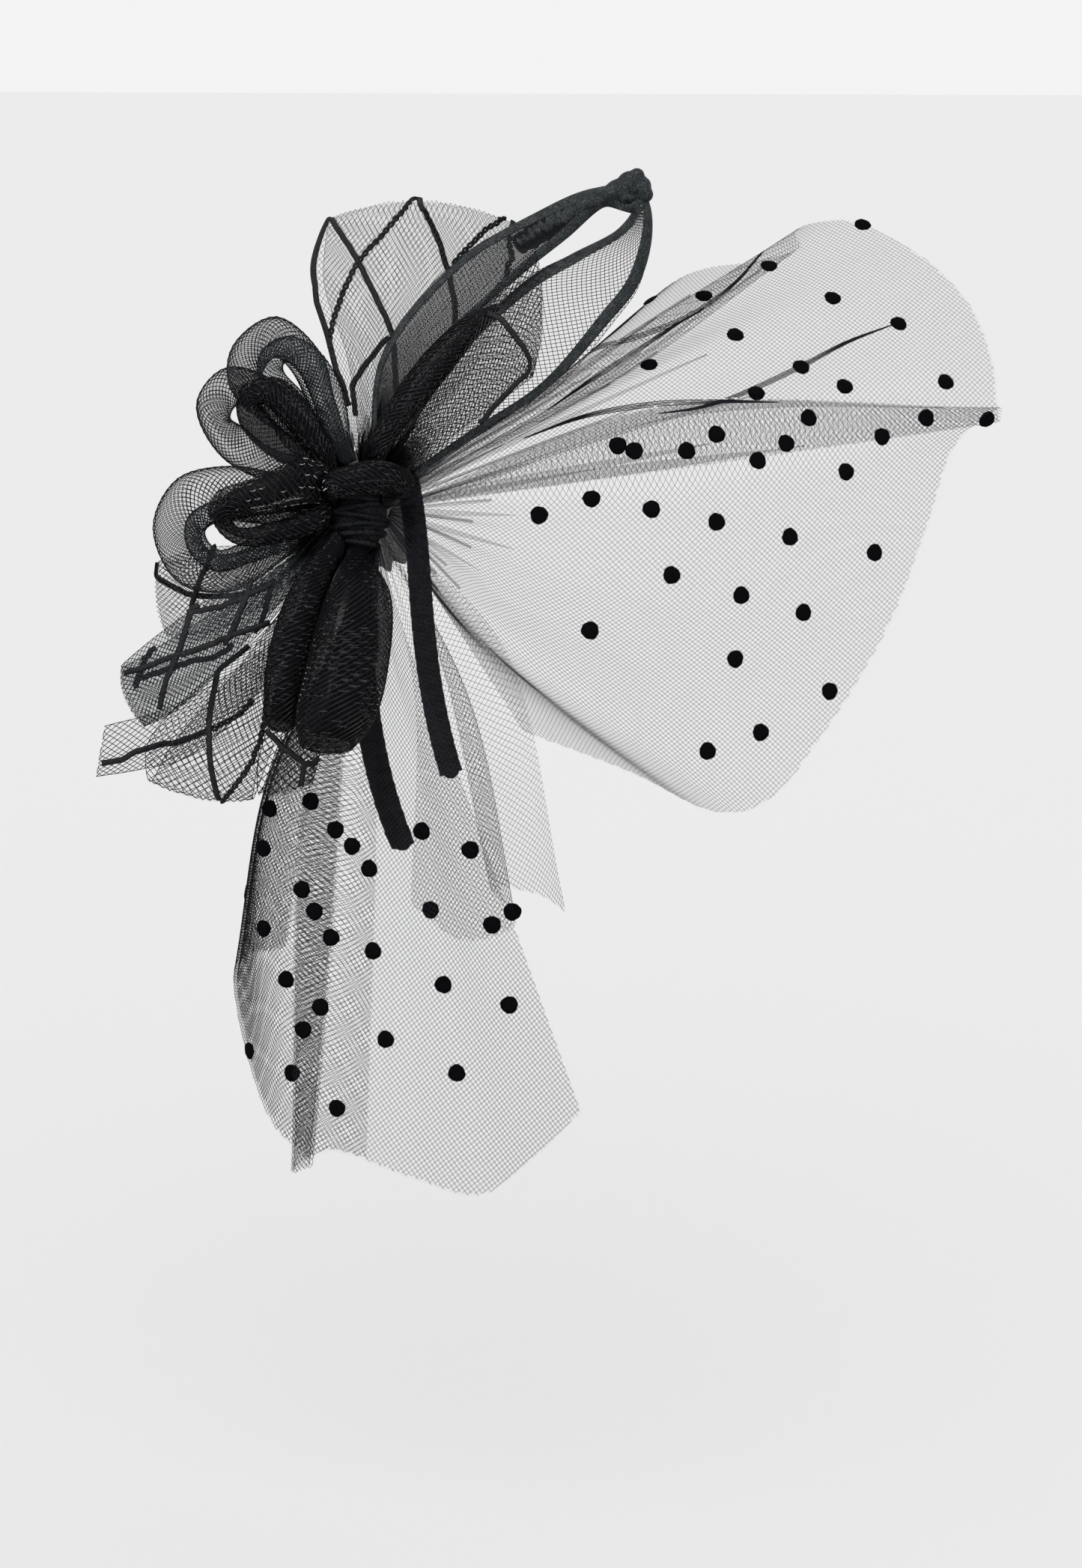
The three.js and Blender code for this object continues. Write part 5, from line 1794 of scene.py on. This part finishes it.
@dataclass
class WoundKnot:
    """A padded core with turns of crin wound round it.

    Attributes:
        name: Name of the node that it stands for.
        place: Its centre in the flower frame.
        axes: Directions of its width, length and depth, in the flower frame.
        half: Its half sizes along them.
        turns: Number of turns wound round its length.
        strand: Thickness of a turn.
        finish: Its finish.
        skew: How far the turns lean, in degrees.
        ring: Half a turn's thickness where its radius is one.
        reach: Share of the length that the turns cover.
        stand: How far the turns stand out from the core.
    """

    name: str
    place: Array
    axes: Array
    half: Triple
    turns: int
    strand: float
    finish: PlainFinish
    skew: float = 10.0
    ring: float = 0.17
    reach: float = 0.86
    stand: float = 0.4

    def model_turn(self) -> Piece:
        """Model one turn of crin as a flattened ring of radius one."""
        deselect()
        bpy.ops.mesh.primitive_torus_add(major_segments=48, minor_segments=10,
                                         major_radius=1.0, minor_radius=self.ring)
        ring = bpy.context.object
        bpy.ops.object.mode_set(mode="EDIT")
        bpy.ops.mesh.select_all(action="SELECT")
        bpy.ops.transform.rotate(value=math.pi / 2, orient_axis="X", center_override=(0, 0, 0))
        bpy.ops.object.mode_set(mode="OBJECT")
        return ring

    def build(self) -> None:
        """Make the core and its turns as one padded piece."""
        place = FLOWER.to_row(self.place)
        axes = self.axes @ FLOWER.axes
        core = unit_ball(40)
        core.matrix_world = pose_matrix(place, axes, self.half)
        ring = self.model_turn()
        pieces = [core]
        for number in range(self.turns):
            height = self.reach * ((number + 0.5) / self.turns * 2 - 1)
            round_it = math.sqrt(1 - height * height)
            lean = math.radians(self.skew * math.sin(2.4 * number + 1))
            length = math.cos(lean) * axes[1] + math.sin(lean) * axes[0]
            width = math.cos(lean) * axes[0] - math.sin(lean) * axes[1]
            matrix = pose_matrix(
                place + axes[1] * self.half[1] * height, np.array([width, length, axes[2]]),
                (self.half[0] * round_it + self.stand, self.strand / (2 * self.ring),
                 self.half[2] * round_it + self.stand))
            pieces.append(copy_of(ring, matrix))
        bpy.data.objects.remove(ring)
        knot = settle(pieces, f"{self.name}_wound", self.finish)
        seat_piece(knot, "crin", self.name)


@dataclass
class Ruffle:
    """The gathered ends of the crin, which stand out round the knot.

    Attributes:
        radii: Radius at each bearing, evenly spaced round the knot.
        pleats: Number of pleats round the knot.
        level: How far behind the knot's middle it lies.
        inner: Radius at which it starts.
    """

    radii: tuple[float, ...]
    pleats: int = 46
    level: float = -3.0
    inner: float = 5.0

    def build(self) -> None:
        """Make the ruffle as one pleated sheet."""
        around = np.linspace(0, 2 * math.pi, self.pleats * 8 + 1)
        reach = np.array([*self.radii, self.radii[0]])
        rim = np.interp(around, np.linspace(0, 2 * math.pi, len(reach)), reach)
        rim = rim + 1.6 * np.sin(around * self.pleats / 2 + np.sin(5 * around))
        share = np.linspace(0, 1, 13)[:, None]
        radius = self.inner + (rim - self.inner) * share
        fold = np.sin(around * self.pleats + 1.5 * np.sin(3 * around)) * (0.4 + 1.5 * share)
        grid = np.stack([radius * np.cos(around), 1.15 * radius * np.sin(around),
                         self.level + fold - 3.5 * share ** 2], axis=-1)
        cloth = Cloth(FLOWER.to_row(grid), closed=True)
        sheet = seat_piece(cloth.film("centre_knot_ruffle", GATHER_FILM, skip=1), "crin",
                           "centre_knot")


@dataclass
class TipKnot:
    """The wrap that ties the pointed loop at its tip, and the ruched arm that runs into it.

    Attributes:
        lumps: Rows of pixel right, pixel down, depth, half length, half width and lean.
        arm: Rows of pixel right, pixel down and half width, from the strip up to the wrap.
        ruches: Number of ruches along the arm.
        flat: Greatest half depth of a lump.
    """

    lumps: tuple[Sextuple, ...]
    arm: tuple[Triple, ...]
    ruches: int = 15
    flat: float = 4.4

    def arm_lumps(self) -> list[Sextuple]:
        """Return the ruches of the arm as short lumps, set across it."""
        bends = np.array(self.arm)
        shares = np.linspace(0, 1, self.ruches)
        line = Rail(bends).at(shares)
        along = np.gradient(line, axis=0)
        lumps = []
        for number, ((right, down, width), step) in enumerate(zip(line, along)):
            lean = math.degrees(math.atan2(-step[1], step[0])) + 8 * math.sin(2.1 * number)
            width *= 1 + 0.07 * math.sin(3.7 * number)
            lumps.append((right, down, 1.5, 2.3, width, lean))
        return lumps

    def build(self) -> None:
        """Model a ball once, copy it to each lump and draw them together."""
        ball = unit_ball(32)
        pieces = []
        for right, down, depth, length, width, lean in (*self.lumps, *self.arm_lumps()):
            turn = math.radians(lean)
            axes = np.array([[math.cos(turn), math.sin(turn), 0],
                             [-math.sin(turn), math.cos(turn), 0], [0, 0, 1]])
            place = FLOWER.to_row(VIEW.place((right, down), depth))
            pieces.append(copy_of(ball, pose_matrix(place, axes @ FLOWER.axes,
                                                    (length, width, min(width, self.flat)))))
        bpy.data.objects.remove(ball)
        knot = settle(pieces, "tip_knot_wrap", SELVAGE_BRAID)
        apply_change(knot, "REMESH", voxel_size=0.6 * MM)
        apply_change(knot, "SMOOTH", iterations=4)
        bpy.ops.object.shade_smooth()
        seat_piece(knot, "crin", "tip_knot")


def knots() -> list[WoundKnot | Ruffle | TipKnot]:
    """Return the knot of the flower with its ruffle, and the knot at the pointed loop's tip."""
    return [
        WoundKnot("centre_knot", np.zeros(3), np.eye(3),
                  (KNOT.half_width - 0.6, KNOT.half_height - 0.6, KNOT.half_depth - 0.6),
                  9, 2.6, KNOT_CLOTH),
        Ruffle((22, 22, 23, 21, 20, 20, 21, 22, 24, 25, 24, 23, 23, 23, 25, 24)),
        TipKnot((
            (812, 259, 1, 6.0, 3.4, 14), (826, 253, 1, 6.5, 4.4, 20), (841, 246, 1, 5.5, 5.4, 40),
            (850, 236, 1, 3.6, 3.4, 60), (856, 250, 1, 4.2, 4.6, -30), (861, 260, 0, 3.4, 3.6, -70),
            (838, 262, 0, 5.0, 3.2, 10),
        ), (
            (694, 326, 4.6), (722, 308, 5.6), (750, 292, 5.0), (780, 274, 4.2), (806, 262, 3.2),
        )),
    ]


@dataclass
class Headband:
    """The sprung band, wound with ribbon.

    Attributes:
        wrap_pitch: Distance from one turn of ribbon to the next, or a little less.
        wrap_length: Length of a turn along the band.
        end_gap: Distance from a tip to the middle of its turn.
        stand: How far the turns stand out from the band, across it and outwards.
        wall: Thickness of a turn, as a share of its half width.
        near: Step either side of a place, in shares, to find the band's direction.
    """

    wrap_pitch: float = 6.5
    wrap_length: float = 8.0
    end_gap: float = 6.0
    stand: Place = (0.45, 0.5)
    wall: float = 0.12
    near: float = 0.002

    def model_core(self) -> Piece:
        """Merge and round a copy of the band's own solid."""
        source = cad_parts["headband"]
        core = copy_of(source, source.matrix_world)
        core.hide_render = core.hide_viewport = False
        deselect()
        core.select_set(True)
        bpy.context.view_layer.objects.active = core
        bpy.ops.object.mode_set(mode="EDIT")
        bpy.ops.mesh.select_all(action="SELECT")
        bpy.ops.mesh.remove_doubles(threshold=0.00002)
        bpy.ops.object.mode_set(mode="OBJECT")
        apply_change(core, "SUBSURF", levels=1)
        return core

    def model_wrap(self) -> Piece:
        """Model one turn of ribbon, wider at the end that overlaps the next one."""
        deselect()
        bpy.ops.mesh.primitive_cylinder_add(vertices=28, radius=1.0, depth=1.0,
                                            end_fill_type="NOTHING")
        wrap = bpy.context.object
        bpy.ops.object.mode_set(mode="EDIT")
        bpy.ops.mesh.select_mode(type="VERT")
        bpy.ops.mesh.select_all(action="DESELECT")
        bpy.ops.object.mode_set(mode="OBJECT")
        for vertex in wrap.data.vertices:
            vertex.select = vertex.co.z < 0
        bpy.ops.object.mode_set(mode="EDIT")
        bpy.ops.transform.resize(value=(0.93, 0.86, 1), center_override=(0, 0, -0.5))
        bpy.ops.mesh.select_all(action="SELECT")
        bpy.ops.mesh.normals_make_consistent(inside=False)
        bpy.ops.object.mode_set(mode="OBJECT")
        apply_change(wrap, "SOLIDIFY", thickness=self.wall, offset=1.0)
        return wrap

    def build(self) -> None:
        """Make the core and the ribbon."""
        seat_piece(settle([self.model_core()], "headband_core", RIBBON), "velvet", "headband")
        wrap = self.model_wrap()
        wound = 2 * (BAND.half_length - self.end_gap)
        count = int(wound / self.wrap_pitch)
        wraps = []
        for number in range(count + 1):
            distance = self.end_gap + wound * number / count
            centre, outward, tangent = self.station(distance / BAND.half_length - 1)
            sideways = unit(np.cross(tangent, outward))
            wraps.append(copy_of(wrap, pose_matrix(
                centre, np.array([sideways, outward, tangent]),
                (BAND.width / 2 + self.stand[0], BAND.thickness / 2 + self.stand[1],
                 self.wrap_length))))
        bpy.data.objects.remove(wrap)
        seat_piece(settle(wraps, "headband_ribbon", RIBBON), "velvet", "headband")

    def station(self, place: float) -> tuple[Array, Array, Array]:
        """Return the band's centre, outward direction and path direction at a place."""
        near = []
        for shift in (-self.near, self.near):
            inner, outward = BAND.frame(max(-1.0, min(1.0, place + shift)))
            near.append(inner + outward * BAND.thickness / 2)
        _, outward = BAND.frame(place)
        return (near[0] + near[1]) / 2, outward, unit(near[1] - near[0])


# Studio

def hang(name: str, data: bpy.types.ID, place: Vector, facing: Vector) -> Piece:
    """Return a camera or light in its place, turned to face a direction."""
    holder = bpy.data.objects.new(name, data)
    bpy.context.scene.collection.objects.link(holder)
    holder.location = place
    holder.rotation_mode = "QUATERNION"
    holder.rotation_quaternion = facing.to_track_quat("-Z", "Y")
    return holder


@dataclass
class Studio:
    """Floor, lights and the photograph's camera.

    Attributes:
        floor_level: Height of the floor, in millimetres.
        floor_size: Length of its side, in millimetres.
        room_brightness: Brightness of the pale room.
        aim: Point that the lights face, in metres.
        lights: Rows of name, place in metres, side in metres and power in watts.
        bounces: Number of see-through films that a ray may pass.
    """

    floor_level: float = -420
    floor_size: float = 60000
    room_brightness: float = 0.90
    aim: Triple = (0.05, -0.05, -0.08)
    lights: tuple[tuple[str, Triple, float, float], ...] = (
        ("key", (-0.6, -1.2, 1.3), 0.30, 26), ("fill", (1.2, -1.1, 0.5), 0.5, 10))
    bounces: int = 64

    def make_floor(self) -> Piece:
        """Lay a plain pale floor."""
        bpy.ops.mesh.primitive_plane_add(size=self.floor_size * MM,
                                         location=(0, 0, self.floor_level * MM))
        floor = bpy.context.object
        floor.name = "floor"
        floor.data.materials.append(
            PlainFinish("floor_paper", (0.93, 0.93, 0.93), 0.9, gloss=0.0).material())
        return floor

    def make_camera(self) -> None:
        """Place the camera where the photograph was taken."""
        camera = bpy.data.cameras.new("camera")
        camera.sensor_width = VIEW.sensor
        camera.lens = VIEW.sensor * VIEW.focal_pixels / max(VIEW.picture)
        camera.clip_start = 0.05
        camera.clip_end = 60
        bpy.context.scene.camera = hang("camera", camera, Vector(VIEW.eye * MM),
                                        Vector(-FLOWER.front))

    def make_light(self, name: str, place: Triple, size: float,
                   power: float, spared: bpy.types.Collection) -> None:
        """Hang one square light that faces the part and spares the floor.

        Args:
            name: Name of the light.
            place: Where it hangs, in metres.
            size: Length of its side, in metres.
            power: Power in watts.
            spared: Collection of what it doesn't light.
        """
        light = bpy.data.lights.new(name, "AREA")
        light.size = size
        light.energy = power
        holder = hang(name, light, Vector(place), Vector(self.aim) - Vector(place))
        holder.light_linking.receiver_collection = spared

    def build(self) -> None:
        """Make the whole studio."""
        self.make_camera()
        floor = self.make_floor()
        spared = bpy.data.collections.new("spared_floor")
        spared.objects.link(floor)
        spared.collection_objects[0].light_linking.link_state = "EXCLUDE"
        for light in self.lights:
            self.make_light(*light, spared)
        world = bpy.data.worlds.new("pale_room")
        bpy.context.scene.world = world
        world.use_nodes = True
        walls = world.node_tree.nodes["Background"].inputs
        walls["Color"].default_value = (1.0, 1.0, 1.0, 1)
        walls["Strength"].default_value = self.room_brightness
        bpy.context.scene.view_settings.view_transform = "Standard"
        bpy.context.scene.cycles.transparent_max_bounces = self.bounces


def main() -> None:
    """Build every piece in order."""
    deselect()
    Studio().build()
    for strip in [*upper_loops(), *curls(), *rolled_edges(), *side_loops(), *hanging_loops()]:
        strip.build()
    for panel in veil_panels():
        panel.build()
    for knot in knots():
        knot.build()
    Headband().build()


if __name__ == "__main__":
    main()
